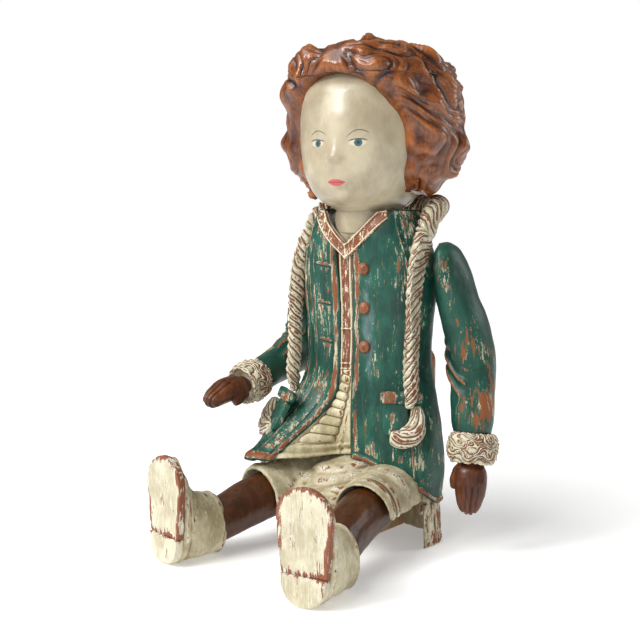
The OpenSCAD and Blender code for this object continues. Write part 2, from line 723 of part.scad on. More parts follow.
coat_front(1);  // coat_front_left
coat_front(-1);  // coat_front_right
coat_back();
shirt_front();
dress_front();
skirt();
shirt_collar();
fur_edge(1);  // fur_edge_left
fur_edge(-1);  // fur_edge_right
fur_collar();
coat_buttons();
pocket(1);  // pocket_left
pocket(-1);  // pocket_right
pocket_fur(1);  // pocket_fur_left
pocket_fur(-1);  // pocket_fur_right
shoulder_board();
neck_bush();
seat_block();
hip_pin(1);  // hip_pin_left
hip_pin(-1);  // hip_pin_right
face_shell();
skull_shell();
hair_crown();
hair_fall();
neck();
head_stick();
stick_grip();
stick_stop();
stick_stop_pin();
sleeve(1);  // sleeve_left
sleeve(-1);  // sleeve_right
cuff(1);  // cuff_left
cuff(-1);  // cuff_right
hand(1);  // hand_left
hand(-1);  // hand_right
wrist_dowel(1);  // wrist_dowel_left
wrist_dowel(-1);  // wrist_dowel_right
shoulder_bolt(1);  // shoulder_bolt_left
shoulder_bolt(-1);  // shoulder_bolt_right
shoulder_washer(1);  // shoulder_washer_left
shoulder_washer(-1);  // shoulder_washer_right
shoulder_nut(1);  // shoulder_nut_left
shoulder_nut(-1);  // shoulder_nut_right
leg(1);  // leg_left
leg(-1);  // leg_right
shoe(1);  // shoe_left
shoe(-1);  // shoe_right
sole(1);  // sole_left
sole(-1);  // sole_right
heel(1);  // heel_left
heel(-1);  // heel_right
ankle_dowel(1);  // ankle_dowel_left
ankle_dowel(-1);  // ankle_dowel_right
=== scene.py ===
from math import radians

import bmesh
import bpy
import numpy as np
from mathutils import Matrix, Vector


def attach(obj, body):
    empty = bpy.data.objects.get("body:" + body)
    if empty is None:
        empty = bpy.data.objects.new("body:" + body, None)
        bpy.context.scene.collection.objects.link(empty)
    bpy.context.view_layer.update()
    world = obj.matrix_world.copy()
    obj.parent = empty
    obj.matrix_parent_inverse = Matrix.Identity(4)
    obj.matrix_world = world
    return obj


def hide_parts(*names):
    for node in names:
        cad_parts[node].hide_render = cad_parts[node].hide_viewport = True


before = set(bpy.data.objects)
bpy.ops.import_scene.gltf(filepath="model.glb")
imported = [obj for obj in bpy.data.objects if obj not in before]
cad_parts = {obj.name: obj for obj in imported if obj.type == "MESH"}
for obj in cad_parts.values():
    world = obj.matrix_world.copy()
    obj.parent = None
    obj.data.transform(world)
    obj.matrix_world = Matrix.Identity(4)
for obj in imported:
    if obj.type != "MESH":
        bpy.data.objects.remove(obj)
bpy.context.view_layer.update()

mm = 0.001

# ---------------------------------------------------------------- camera, light and floor
# The figure sits on a pale studio floor. A large soft lamp stands on its right, a weaker one on its
# left and a small one behind; a broad ceiling light and white walls fill the shadows.

camera = bpy.data.objects.new("camera", bpy.data.cameras.new("camera"))
camera.location = (0.7284, -0.9705, 0.3863)
camera.rotation_euler = (Vector((0, -0.09, 0.25)) - camera.location).to_track_quat("-Z", "Y").to_euler()
camera.data.lens = 59.9
camera.data.shift_x = -0.0084
camera.data.shift_y = 0.0047
bpy.context.collection.objects.link(camera)
bpy.context.scene.camera = camera
bpy.context.scene.view_settings.view_transform = "Standard"


def lamp(name, place, aim, size, watts):
    data = bpy.data.lights.new(name, "AREA")
    data.size = size
    data.energy = watts
    made = bpy.data.objects.new(name, data)
    made.location = place
    made.rotation_euler = (Vector(aim) - made.location).to_track_quat("-Z", "Y").to_euler()
    bpy.context.collection.objects.link(made)


lamp("key_lamp", (-0.45, -1.4, 1.2), (0, -0.05, 0.35), 0.5, 13)
lamp("fill_lamp", (1.5, -1.1, 0.5), (0, -0.05, 0.25), 0.9, 2.5)
lamp("rim_lamp", (0.9, 1.1, 0.9), (0, 0, 0.35), 0.7, 5)
sun = bpy.data.objects.new("ceiling_light", bpy.data.lights.new("ceiling_light", "SUN"))
sun.data.angle = radians(55)
sun.data.energy = 2.5
sun.rotation_euler = Vector((0.35, 0.75, -1)).to_track_quat("-Z", "Y").to_euler()
bpy.context.collection.objects.link(sun)

world = bpy.data.worlds.new("studio")
world.use_nodes = True
backdrop = world.node_tree.nodes["Background"]
backdrop.inputs["Color"].default_value = (1, 1, 1, 1)
seen = world.node_tree.nodes.new("ShaderNodeMath")
seen.operation = "MULTIPLY_ADD"
seen.inputs[1].default_value = 0.76
seen.inputs[2].default_value = 0.24
rays = world.node_tree.nodes.new("ShaderNodeLightPath")
world.node_tree.links.new(rays.outputs["Is Camera Ray"], seen.inputs[0])
world.node_tree.links.new(seen.outputs[0], backdrop.inputs["Strength"])
bpy.context.scene.world = world


class Wire:
    """An output in a material's node tree. Arithmetic on it adds Math nodes."""

    def __init__(self, tree, socket=None):
        self.tree = tree
        self.socket = socket

    def make(self, kind, settings=None, inputs=None, out=0):
        """Add a node, with its settings first and then its inputs, and give one of its outputs."""
        node = self.tree.nodes.new("ShaderNode" + kind)
        for name, value in (settings or {}).items():
            setattr(node, name, value)
        for name, value in (inputs or {}).items():
            if isinstance(value, Wire):
                self.tree.links.new(value.socket, node.inputs[name])
            else:
                node.inputs[name].default_value = value
        return Wire(self.tree, node.outputs[out])

    def math(self, operation, *values):
        return self.make("Math", {"operation": operation}, dict(enumerate(values)))

    def __add__(self, other):
        return self.math("ADD", self, other)

    def __radd__(self, other):
        return self.math("ADD", other, self)

    def __sub__(self, other):
        return self.math("SUBTRACT", self, other)

    def __rsub__(self, other):
        return self.math("SUBTRACT", other, self)

    def __mul__(self, other):
        return self.math("MULTIPLY", self, other)

    def __rmul__(self, other):
        return self.math("MULTIPLY", other, self)

    def fade(self, low, high):
        """0 below low, 1 above high and soft between them; low may be the larger."""
        limits = {"Value": self, "From Min": low, "From Max": high}
        return self.make("MapRange", {"interpolation_type": "SMOOTHSTEP"}, limits)


def finish_coat(name):
    """A material and its tree; sockets are set later by dress_shader."""
    material = bpy.data.materials.new(name)
    material.use_nodes = True
    return material, Wire(material.node_tree)


def dress_shader(wire, **values):
    """Set or link the Principled shader's sockets, named with _ for each space."""
    shader = wire.tree.nodes["Principled BSDF"]
    for name, value in values.items():
        socket = shader.inputs[name.replace("_", " ")]
        if isinstance(value, Wire):
            wire.tree.links.new(value.socket, socket)
        else:
            socket.default_value = value


def tint(mask, under, over):
    colours = [c if isinstance(c, Wire) else (*c, 1) for c in (under, over)]
    return mask.make("Mix", {"data_type": "RGBA"}, {0: mask, 6: colours[0], 7: colours[1]}, out=2)


def grain(wire, size, stretch=(1, 1, 1), detail=3, rough=0.55, warp=0):
    """Noise in lumps of this size in metres, drawn out along the axes by stretch."""
    where = wire.make("TexCoord", out=3)
    factor = [1 / (size * s) for s in stretch]
    place = wire.make("VectorMath", {"operation": "MULTIPLY"}, {0: where, 1: factor})
    look = {"Vector": place, "Scale": 1, "Detail": detail, "Roughness": rough, "Distortion": warp}
    return wire.make("TexNoise", None, look)


def bumped(height, distance, strength=1):
    return height.make("Bump", None, {"Height": height, "Distance": distance, "Strength": strength})


material, wire = finish_coat("floor_card")
speckle = grain(wire, 0.05)
dress_shader(wire, Base_Color=tint(speckle, (0.9, 0.9, 0.89), (0.92, 0.92, 0.91)), Roughness=0.9,
             Emission_Color=(1, 1, 1, 1), Emission_Strength=0.28)
bm = bmesh.new()
bmesh.ops.create_grid(bm, x_segments=8, y_segments=8, size=6)
bmesh.ops.translate(bm, verts=bm.verts, vec=(0, 0, -0.0004))
floor = bpy.data.objects.new("floor", bpy.data.meshes.new("floor"))
bm.to_mesh(floor.data)
bm.free()
floor.data.materials.append(material)
bpy.context.collection.objects.link(floor)

# ---------------------------------------------------------------- inner pieces
# The seat block, shoulder board, head stick and dowels are plain planed timber, and the bolts, nuts,
# washers and pins are bright steel. None is painted.


def timber(name, dark, light, gloss=0.6):
    material, wire = finish_coat(name)
    rings = grain(wire, 4 * mm, (1, 1, 9), 4, 0.6, 0.6)
    pores = grain(wire, 0.7 * mm, (1, 1, 14), 2)
    colour = tint(rings.fade(0.35, 0.68), dark, light)
    colour = tint(pores.fade(0.62, 0.75) * 0.5, colour, [c * 0.5 for c in dark])
    dress_shader(wire, Base_Color=colour, Roughness=gloss + pores * 0.15, Normal=bumped(pores, 0.1 * mm))
    return material


def metal(name):
    material, wire = finish_coat(name)
    turning = grain(wire, 0.4 * mm, (14, 1, 1), 2)
    stains = grain(wire, 6 * mm)
    colour = tint(stains.fade(0.5, 0.8), (0.42, 0.41, 0.4), (0.26, 0.2, 0.15))
    dress_shader(wire, Base_Color=colour, Metallic=1, Roughness=0.28 + stains * 0.25,
                 Normal=bumped(turning, 0.04 * mm))
    return material


pale_wood = timber("pale_wood", (0.4, 0.24, 0.11), (0.62, 0.43, 0.23))
turned_wood = timber("turned_wood", (0.2, 0.07, 0.025), (0.34, 0.13, 0.05), 0.35)
bright_steel = metal("bright_steel")


def refinish(material, *nodes):
    for node in nodes:
        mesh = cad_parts[node].data
        mesh.materials.clear()
        mesh.materials.append(material)


refinish(pale_wood, "shoulder_board", "seat_block", "head_stick", "wrist_dowel_left", "wrist_dowel_right",
         "ankle_dowel_left", "ankle_dowel_right")
refinish(turned_wood, "neck_bush", "stick_grip", "stick_stop")
refinish(bright_steel, "stick_stop_pin", *[f"{part}_{side}" for side in ("left", "right")
         for part in ("shoulder_bolt", "shoulder_washer", "shoulder_nut", "hip_pin")])

# ---------------------------------------------------------------- coat
# The body is a hollow of carved staves: two fronts that stand open and a back with the hand opening.
# It is painted green over a cream ground, rubbed through along every ridge and hem.


def at(table, z, column, soft=5):
    """A section's measure at heights z, eased where its table changes slope."""
    heights = [row[0] for row in table]
    measures = [row[column] for row in table]
    return sum(np.interp(z + d, heights, measures) for d in (-soft, -soft / 2, 0, soft / 2, soft)) / 5


def smooth(value):
    value = np.clip(value, 0, 1)
    return value * value * (3 - 2 * value)


def lerp(a, b, t):
    return a + (b - a) * t


def body_point(table, z, t, inset=0, front_power=2 / 3):
    """Points of a body section; t is -90 at the front, 0 at its left and 90 at the back."""
    mid_y = -5
    c, s = np.cos(np.radians(t)), np.sin(np.radians(t))
    power = np.where(s < 0, front_power, 1)
    depth = np.where(s < 0, mid_y - at(table, z, 2), at(table, z, 3) - mid_y) - inset
    x = (at(table, z, 1) - inset) * np.sign(c) * np.abs(c) ** power
    return np.stack([x, mid_y + depth * np.sign(s) * np.abs(s) ** power, z + 0 * t], -1)


def front_angle(table, z, x):
    return -90 + np.degrees(np.arcsin(np.clip(x / at(table, z, 1), 0, 1) ** 1.5))


def drift(point, size, seed):
    """Soft unevenness between about -1 and 1 in lumps of this size."""
    rng = np.random.default_rng(seed)
    total = 0
    for _ in range(7):
        way = rng.normal(size=3)
        way *= rng.uniform(3.5, 7.5) / size / np.linalg.norm(way)
        total = total + np.sin(point @ way + rng.uniform(0, 6.3))
    return total / 3.2


def line(distance, width):
    """A rounded ridge where distance is 0."""
    return np.exp(-(distance / width) ** 2)


def linked(name, mesh):
    made = bpy.data.objects.new(name, mesh)
    bpy.context.collection.objects.link(made)
    return made


def layers(mesh, name):
    if name not in mesh.attributes:
        mesh.attributes.new(name, "FLOAT", "POINT")
    return mesh.attributes[name].data


def points_of(mesh):
    flat = np.empty(len(mesh.vertices) * 3)
    mesh.vertices.foreach_get("co", flat)
    return flat.reshape(-1, 3) * 1000


def normals_of(mesh):
    flat = np.empty(len(mesh.vertices) * 3)
    mesh.vertices.foreach_get("normal", flat)
    return flat.reshape(-1, 3)


def cut_relief(mesh, relief):
    """Raise the surface along its normals by relief in millimetres, and keep how proud each point stands."""
    mesh.vertices.foreach_set("co", ((points_of(mesh) + normals_of(mesh) * relief[:, None]) * mm).ravel())
    edges = np.empty(len(mesh.edges) * 2, int)
    mesh.edges.foreach_get("vertices", edges)
    a, b = edges.reshape(-1, 2).T
    count = np.bincount(a, minlength=len(relief)) + np.bincount(b, minlength=len(relief))
    level = relief
    for _ in range(14):
        near = np.bincount(a, level[b], len(relief)) + np.bincount(b, level[a], len(relief))
        level = near / np.maximum(count, 1)
    layers(mesh, "proud").foreach_set("value", relief - level)
    mesh.update()


def carve(name, columns, rows, place, relief, closed=True):
    """A carved skin: place(u, v) lays out a grid and relief(u, v, point) is then cut into it."""
    bm = bmesh.new()
    bmesh.ops.create_grid(bm, x_segments=columns, y_segments=rows, size=0.5)
    mesh = bpy.data.meshes.new(name)
    bm.to_mesh(mesh)
    uv = points_of(mesh) / 1000 + 0.5
    mesh.vertices.foreach_set("co", (place(uv[:, 0], uv[:, 1]) * mm).ravel())
    layers(mesh, "across").foreach_set("value", uv[:, 0])
    layers(mesh, "along").foreach_set("value", uv[:, 1])
    bm.free()
    bm = bmesh.new()
    bm.from_mesh(mesh)
    if closed:
        bmesh.ops.remove_doubles(bm, verts=bm.verts, dist=0.02 * mm)
        bmesh.ops.holes_fill(bm, edges=bm.edges)
        bmesh.ops.recalc_face_normals(bm, faces=bm.faces)
    bm.to_mesh(mesh)
    bm.free()
    mesh.shade_smooth()
    u, v = np.empty(len(mesh.vertices)), np.empty(len(mesh.vertices))
    mesh.attributes["across"].data.foreach_get("value", u)
    mesh.attributes["along"].data.foreach_get("value", v)
    cut_relief(mesh, relief(u, v, points_of(mesh)))
    return linked(name, mesh)


def rub(piece, amount):
    """Where hands and time have rubbed the paint, as one number for each point."""
    layers(piece.data, "rub").foreach_set("value", amount)


def walled(piece, wall):
    made = piece.modifiers.new("wall", "SOLIDIFY")
    made.thickness = wall * mm
    made.offset = -1


def in_place(piece, material, body, slot, *nodes):
    piece.data.materials.clear()
    piece.data.materials.append(material)
    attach(piece, body)
    if nodes:
        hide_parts(*nodes)


def aged_paint(name, deep, light, ground, wood, wear=0, groove=0, stretch=(1, 1, 6), gloss=0.38, blots=None,
               bare=0.24):
    """Old paint over a ground coat over wood. It is rubbed off what stands proud, and wear adds to that; its
    deep hollows get painted shade.
    """
    material, wire = finish_coat(name)
    proud = wire.make("Attribute", {"attribute_name": "proud"}, out=2)
    handled = wire.make("Attribute", {"attribute_name": "rub"}, out=2)
    streaks = grain(wire, 2.2 * mm, stretch, 6, 0.66, 0.3)
    patches = grain(wire, 26 * mm, (1, 1, 1.8), 4, 0.6)
    flakes = grain(wire, 1.0 * mm, (1, 1, 1.6), 3)
    runs = grain(wire, 8 * mm, stretch, 5, 0.6)
    rubbed = proud * 0.55 + handled * 0.5 + streaks + patches + runs * 0.6 + flakes * 0.35 + (wear - 1.47)
    through = rubbed.fade(0.15, 0.24)
    to_wood = (rubbed + (grain(wire, 6 * mm, stretch, 4) - 0.5) * 0.8).fade(bare, bare + 0.11)
    colour = tint(patches.fade(0.35, 0.65), deep, light)
    colour = tint(streaks.fade(0.45, 0.8) * 0.35, colour, [c * 1.7 for c in light])
    if blots:
        cloudy = grain(wire, 11 * mm, (1, 1, 2.5), 5, 0.65) + blots[1](wire)
        colour = tint(cloudy.fade(0.66, 0.95) * 0.85, colour, blots[0])
    colour = tint(through, colour, tint(flakes, [c * 0.78 for c in ground], ground))
    colour = tint(to_wood, colour, tint(streaks, [c * 0.6 for c in wood], wood))
    hollow = (proud * -1 + (flakes - 0.5) * 0.6 + (patches - 0.5) * 0.8).fade(0.1, 0.75)
    colour = tint(hollow * groove, colour, tint(flakes, [c * 0.35 for c in wood], [c * 0.8 for c in wood]))
    # Painted shade: the deepest hollows are darkened towards a third of the deep paint colour.
    colour = tint(proud.fade(-0.15, -1.6) * 0.75, colour, [c * 0.3 for c in deep])
    height = proud * 0.1 - through * 0.5 - to_wood * 0.4 + streaks * 0.5 + flakes * 0.3
    dress_shader(wire, Base_Color=colour, Roughness=gloss + through * 0.18 + flakes * 0.12,
                 Normal=bumped(height, 0.35 * mm), Coat_Weight=0.15, Coat_Roughness=0.25,
                 Specular_IOR_Level=0.32)
    return material


green_deep, green_light = (0.004, 0.037, 0.026), (0.012, 0.1, 0.066)
cream_ground, rubbed_wood = (0.66, 0.6, 0.42), (0.27, 0.085, 0.028)


def by_buttons(wire):
    """1 beside the row of buttons, falling off sideways."""
    where = wire.make("TexCoord", out=3)
    x = wire.make("SeparateXYZ", None, {0: where}, out=0)
    z = wire.make("SeparateXYZ", None, {0: where}, out=2)
    beside = (x - 0.028).math("ABSOLUTE", x - 0.028).fade(0.018, 0.002)
    return beside * z.fade(0.13, 0.25) * z.fade(0.315, 0.29) * 0.34


coat_paint = aged_paint("coat_paint", green_deep, green_light, cream_ground, rubbed_wood, wear=-0.03,
                        bare=0.21, blots=((0.12, 0.19, 0.2), by_buttons))

coat_table = [[40, 94, -54, 50], [75, 95, -55, 51], [105, 95, -56, 50], [135, 92, -56, 46],
              [165, 85, -55, 42], [195, 78, -52, 38], [225, 77, -51, 37], [255, 80, -52, 38],
              [285, 84, -53, 40], [308, 83.5, -54, 41], [325, 80, -55, 41], [340, 73, -56, 40],
              [356, 67, -54, 39], [372, 60, -48, 37]]
coat_top, side_seam, coat_wall = 372, 10, 7


def lap_push(x, z):
    """How far the lap pushes the hanging right side of the coat and dress forwards."""
    return (76 * smooth(-x / 56) + 18 * np.clip((-x - 50) / 34, 0, 1)) * np.clip((185 - z) / 88, 0, 1) ** 1.6


def coat_point(z, t, inset=0):
    p = body_point(coat_table, z, t, inset)
    s = np.sin(np.radians(t))
    p[:, 1] -= np.where(s < 0, lap_push(p[:, 0], z) * smooth(-s / 0.6), 0)
    return p


def hem(t, side=1):
    """Height of the hem: it slopes down along the left front and lies level on the right lap."""
    ahead = np.maximum(-np.sin(np.radians(t)), 0)
    return lerp(50, 97, 0.8 * ahead + 0.2 * smooth((ahead - 0.9) / 0.1) if side > 0 else smooth(ahead / 0.45))


def neckline(x):
    return lerp(322, coat_top, np.clip(np.abs(x) / 56, 0, 1))


def coat_front_point(side):
    def place(u, v):
        across = u if side > 0 else 1 - u
        guess = lerp(97, coat_top, v)
        open_x = 6 + 0 * v if side > 0 else lerp(48, 11, smooth((guess - 87) / 105))
        t = lerp(front_angle(coat_table, guess, open_x), side_seam, across)
        top = np.where(t < 0, neckline(body_point(coat_table, coat_top - 15, t)[:, 0]), coat_top)
        return coat_point(lerp(hem(t, side) - (2 if side > 0 else 0), top, v), t if side > 0 else -180 - t)
    return place


def tooled(point, seed=1):
    """The faint facets that a gouge leaves."""
    return 0.16 * drift(point, 16, seed) + 0.06 * drift(point, 5, seed + 1)


def edge_round(distance, width=3.5):
    """How far a corner is rounded off at this distance from the edge."""
    near = np.clip(1 - distance / width, 0, 1)
    return -width * 0.55 * (1 - np.sqrt(1 - near * near * 0.98))


coat_seams = {1: ((56, 1.5, 1.7), (61, 1.6, -1.3)),
              -1: ((26, 1.5, 1.3), (30, 1.3, -1), (44, 1.7, 1.6), (60, 1.8, 1.3), (64, 1.6, -1))}


def coat_front_relief(side):
    def relief(u, v, p):
        across = (u if side > 0 else 1 - u) * 105
        up = v * 265
        z = p[:, 2]
        cut = tooled(p, 3) + 0.7 * drift(p * (1, 1, 0.25), 34, 5)
        for place, width, height in coat_seams[side]:
            wander = place + 1.2 * np.sin(z / 31 + place)
            lively = 0.75 + 0.45 * drift(p * (0.4, 0.4, 1), 30, int(place))
            cut += height * lively * line(across - wander, width)
        cut += 1.1 * line(across - 3, 1.8) - 0.7 * line(across - 7, 1.4)
        cut += 1.3 * line(up - 3, 2.2) * smooth(across / 8) - 0.8 * line(up - 9, 2)
        folds = np.sin(across / (8.5 if side > 0 else 7.5) + 0.8 * drift(p, 70, 8))
        cut += 1.4 * folds * smooth((175 - z) / 80)
        if side < 0:
            sloped = 0.15 * (across - 12)
            ends = smooth((9 - np.abs(across - 14)) / 3)
            for slit in (222, 265, 308):
                cut -= 1.5 * line(z - slit - sloped, 1.1) * ends
                cut += 0.6 * line(z - slit - 3 - sloped, 1.3) * ends
        edge = np.minimum(np.minimum(across, up), np.minimum((1 - v) * 265, 105 - across + 2))
        return cut + edge_round(edge)
    return relief


for side, word in ((1, "left"), (-1, "right")):
    front = carve(f"coat_{word}", 190, 210, coat_front_point(side), coat_front_relief(side), closed=False)
    p = points_of(front.data)
    inward = np.abs(p[:, 0]) - (6 if side > 0 else 11)
    rub(front, 0.12 * line(inward, 8) + 0.45 * line(p[:, 2] - 88, 20) * (0.6 + 0.8 * drift(p, 40, 9))
        + 0.35 * line(np.abs(p[:, 0]) - 68, 9) * smooth((p[:, 2] - 230) / 40) + (0.16 if side < 0 else 0.03))
    walled(front, coat_wall - 1)
    in_place(front, coat_paint, "torso", "green_paint", f"coat_front_{word}")


def coat_back_point(u, v):
    t = lerp(side_seam, 180 - side_seam, u)
    return body_point(coat_table, lerp(hem(t), coat_top, v), t)


def coat_back_relief(u, v, p):
    cut = tooled(p, 13) + 0.8 * drift(p * (1, 1, 0.25), 40, 15)
    for place in (0.2, 0.5, 0.8):
        cut += 1.4 * line((u - place) * 230 - 2, 1.7) - 1.2 * line((u - place) * 230 + 2, 1.5)
    cut += 2 * np.sin(u * 44) * smooth((150 - p[:, 2]) / 80)
    cut += 1.3 * line(v * 320 - 3, 2.2) - 0.8 * line(v * 320 - 9, 2)
    frame_line = np.maximum(np.abs(p[:, 0]) - 32, np.abs(p[:, 2] - 168) - 42)
    cut += 1.2 * line(frame_line - 5, 2.5)
    return cut + edge_round(np.minimum(np.minimum(v, 1 - v) * 320, np.minimum(u, 1 - u) * 230 + 2))


def rounded_block(size, centre, corner, segments=4, turn=None):
    """A bmesh block with rounded edges, turned about its centre."""
    bm = bmesh.new()
    bmesh.ops.create_cube(bm, size=1)
    bmesh.ops.scale(bm, verts=bm.verts, vec=[s * mm for s in size])
    bmesh.ops.bevel(bm, geom=bm.edges, offset=corner * mm, offset_type="OFFSET", affect="EDGES",
                    segments=segments, profile=0.5, material=-1)
    if turn is not None:
        bmesh.ops.transform(bm, verts=bm.verts, matrix=turn)
    bmesh.ops.translate(bm, verts=bm.verts, vec=Vector(centre) * mm)
    return bm


def baked(piece):
    """The piece with its modifiers applied."""
    depsgraph = bpy.context.evaluated_depsgraph_get()
    mesh = bpy.data.meshes.new_from_object(piece.evaluated_get(depsgraph))
    piece.modifiers.clear()
    piece.data = mesh


back = carve("coat_rear", 240, 160, coat_back_point, coat_back_relief, closed=False)
walled(back, coat_wall - 1)
bm = rounded_block((64, 80, 84), (0, 50, 168), 19, 8)
cutter = linked("hand_opening", bpy.data.meshes.new("hand_opening"))
bm.to_mesh(cutter.data)
bm.free()
opening = back.modifiers.new("opening", "BOOLEAN")
opening.object = cutter
opening.operation = "DIFFERENCE"
baked(back)
bpy.data.objects.remove(cutter)
in_place(back, coat_paint, "torso", "green_paint", "coat_back")

# ---------------------------------------------------------------- shirt, dress and collar
# Between the coat's fronts shows a reddish shirt with a corded placket, and below the waist a cream
# dress with padded rolls. A corded collar band stands on the neckline.


def strip_point(z0, z1, left_x, right_x, inset):
    def place(u, v):
        z = lerp(z0, z1, v)
        start = -180 - front_angle(coat_table, z, left_x(z))
        return coat_point(z, lerp(start, front_angle(coat_table, z, right_x(z)), u), inset)
    return place


def corded_paint(name, cloth, cord, wear):
    """Reddish cloth with its raised cords picked out in cream, both rubbed, and painted shade in its hollows.
    """
    material, wire = finish_coat(name)
    proud = wire.make("Attribute", {"attribute_name": "proud"}, out=2)
    streaks = grain(wire, 2.2 * mm, (1, 1, 5), 5, 0.6)
    flakes = grain(wire, 0.9 * mm, (1, 1, 1.5), 3)
    patches = grain(wire, 18 * mm, (1, 1, 2), 3)
    on_cord = (proud + (flakes - 0.5) * 0.9 + (patches - 0.5) * 0.7).fade(0.12, 0.34)
    colour = tint(streaks, [c * 0.5 for c in cloth], cloth)
    colour = tint((streaks + flakes * 0.5 + patches * 0.6 + wear).fade(1.05, 1.12), colour, cord)
    colour = tint(on_cord, colour, tint(streaks, [c * 0.8 for c in cord], cord))
    # Painted shade: the hollows between the cords are darkened towards a quarter of the cloth colour.
    colour = tint(proud.fade(-0.1, -0.9) * 0.7, colour, [c * 0.25 for c in cloth])
    dress_shader(wire, Base_Color=colour, Roughness=0.42 + flakes * 0.2, Coat_Weight=0.2,
                 Normal=bumped(streaks + flakes * 0.6, 0.3 * mm))
    return material


brown_cloth = corded_paint("shirt_paint", (0.27, 0.075, 0.022), (0.74, 0.68, 0.48), -0.06)
cream_deep, cream_light = (0.42, 0.36, 0.2), (0.76, 0.7, 0.48)
dress_paint = aged_paint("dress_paint", cream_deep, cream_light, (0.85, 0.82, 0.66), rubbed_wood,
                         wear=-0.12, groove=0.75, stretch=(1, 1, 2), gloss=0.4)
skirt_paint = aged_paint("skirt_paint", (0.3, 0.25, 0.14), (0.6, 0.54, 0.37), (0.8, 0.77, 0.62), rubbed_wood,
                         wear=0.0, groove=0.8, stretch=(1, 1, 3), gloss=0.42)
waist, strip_inset = 192, coat_wall + 0.3


def shirt_relief(u, v, p):
    x, z = p[:, 0], p[:, 2]
    cut = tooled(p, 21)
    for cord in (-9.5, 3.6):
        cut += 1.8 * line(x - cord - 0.5 * np.sin(z / 15 + cord), 1.3)
    middle = x + 3
    for bar in (195, 201, 240):
        cut += 1.6 * line(z - bar - 0.06 * x, 1.2) * smooth((8 - np.abs(middle)) / 2)
    return cut - 0.7 * smooth((5.5 - np.abs(middle)) / 1.5)


placket_reach = lambda z: 24 + 0 * z
shirt = carve("shirt_placket", 110, 260,
              strip_point(waist - 5, 334, placket_reach, placket_reach, strip_inset - 4.2),
              shirt_relief, closed=False)
walled(shirt, 5)
in_place(shirt, brown_cloth, "torso", "brown_shirt_paint", "shirt_front")


def dress_relief(u, v, p):
    x, z = p[:, 0], p[:, 2]
    fall = np.clip((waist - z) / 86, 0, 1)
    left = lerp(-9, -44, fall ** 1.4)
    right = lerp(3, -14, fall ** 1.3)
    middle, half = (left + right) / 2, (right - left) / 2
    cut = tooled(p, 23)
    level = (z - 111 + 0.2 * (x - middle)) / 9.6
    part = 2 * (level - np.floor(level)) - 1
    reach = np.clip(np.abs(x - middle) / half, 0, 2)
    puff = np.sqrt(np.clip(1 - part ** 2 - np.clip(reach - 0.62, 0, 1) ** 2 * 6.5, 0, 1))
    rolls = smooth((z - 111) / 2) * smooth((waist - z + 2) / 3)
    cut += rolls * (3.6 * puff - 1.2 * smooth((1.15 - reach) / 0.15))
    cut += 1.5 * line(x - left + 5, 1.6) + 1.4 * line(x - right - 5.5, 1.5) + 0.9 * line(x - right - 11, 1.6)
    ring = np.hypot((x + 22) * 0.75, z - 152)
    cut += 1.1 * np.sin(ring * 0.72) * smooth((114 - z) / 5)
    return cut


dress = carve("dress_bodice", 220, 200,
              strip_point(98, waist + 3, lambda z: lerp(70, 58, (z - 106) / 86), placket_reach,
                          strip_inset - 3),
              dress_relief, closed=False)
walled(dress, 5)
in_place(dress, dress_paint, "torso", "cream_dress_paint", "dress_front")


def collar_point(u, v):
    x = lerp(-50, 50, u)
    foot = neckline(x) - 5
    z = lerp(foot, np.minimum(neckline(x) + 13, 371), v)
    turn = front_angle(coat_table, 356 + 0 * x, np.abs(x))
    return coat_point(z, np.where(x > 0, turn, -180 - turn), -0.6)


def collar_relief(u, v, p):
    cut = tooled(p, 31) + 1.9 * line(v - 0.12, 0.1) + 1.7 * line(v - 0.88, 0.1)
    return cut + 1.6 * line(u * 100 - 50, 1.8) - 0.5


collar = carve("collar_band", 220, 40, collar_point, collar_relief, closed=False)
walled(collar, 4.5)
in_place(collar, brown_cloth, "torso", "brown_shirt_paint", "shirt_collar")

# ---------------------------------------------------------------- skirt
# The cream skirt closes the body below the coat. Two covers lie over the thighs, each ending in a
# raised border, and the sides and back are cut into pleats down to the seat.


def carved_copy(name, node, voxel, rubs):
    """A copy of a plain solid given one even skin and rubbed smooth, ready for its relief."""
    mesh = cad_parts[node].data.copy()
    bm = bmesh.new()
    bm.from_mesh(mesh)
    bmesh.ops.remove_doubles(bm, verts=bm.verts, dist=0.01 * mm)
    bm.to_mesh(mesh)
    bm.free()
    piece = linked(name, mesh)
    skin = piece.modifiers.new("skin", "REMESH")
    skin.mode = "VOXEL"
    skin.voxel_size = voxel * mm
    sanded = piece.modifiers.new("sanded", "SMOOTH")
    sanded.factor = 0.5
    sanded.iterations = rubs
    baked(piece)
    piece.data.shade_smooth()
    return piece


skirt = carved_copy("skirt_hem", "skirt", 1.6, 6)
p, n = points_of(skirt.data), normals_of(skirt.data)
flat = 1 - np.abs(n[:, 2])
around = np.degrees(np.arctan2(p[:, 1] + 5, p[:, 0]))
outside = smooth((n[:, 0] * p[:, 0] + n[:, 1] * (p[:, 1] + 5)) / 30)
behind = smooth((p[:, 1] + 40) / 16)
pleats = np.abs(np.sin(np.radians(around) * 13 + 0.5 * drift(p, 50, 41)))
relief = tooled(p, 43) + outside * behind * flat * (3.4 * pleats - 2) * smooth((84 - p[:, 2]) / 30)
for side, reach in ((1, -108), (-1, -126)):
    turned = Matrix.Rotation(radians(-10 * side), 3, "Z")
    local = (p - (46 * side, 0, 66)) @ np.array(turned).T
    on_tube = smooth((16 - np.abs(np.hypot(local[:, 0], local[:, 2] + 6) - 34)) / 6)
    on_tube *= smooth((-local[:, 1] - 40) / 10)
    ahead = local[:, 1] - reach
    border = 1.5 * line(ahead - 4, 3) - 1.3 * line(ahead - 11, 1.8) + 0.8 * line(ahead - 16, 2.4)
    relief += on_tube * outside * border
    relief += on_tube * 0.8 * np.sin(ahead / 5 + 0.6 * drift(p, 40, 44)) * smooth((ahead - 18) / 10)
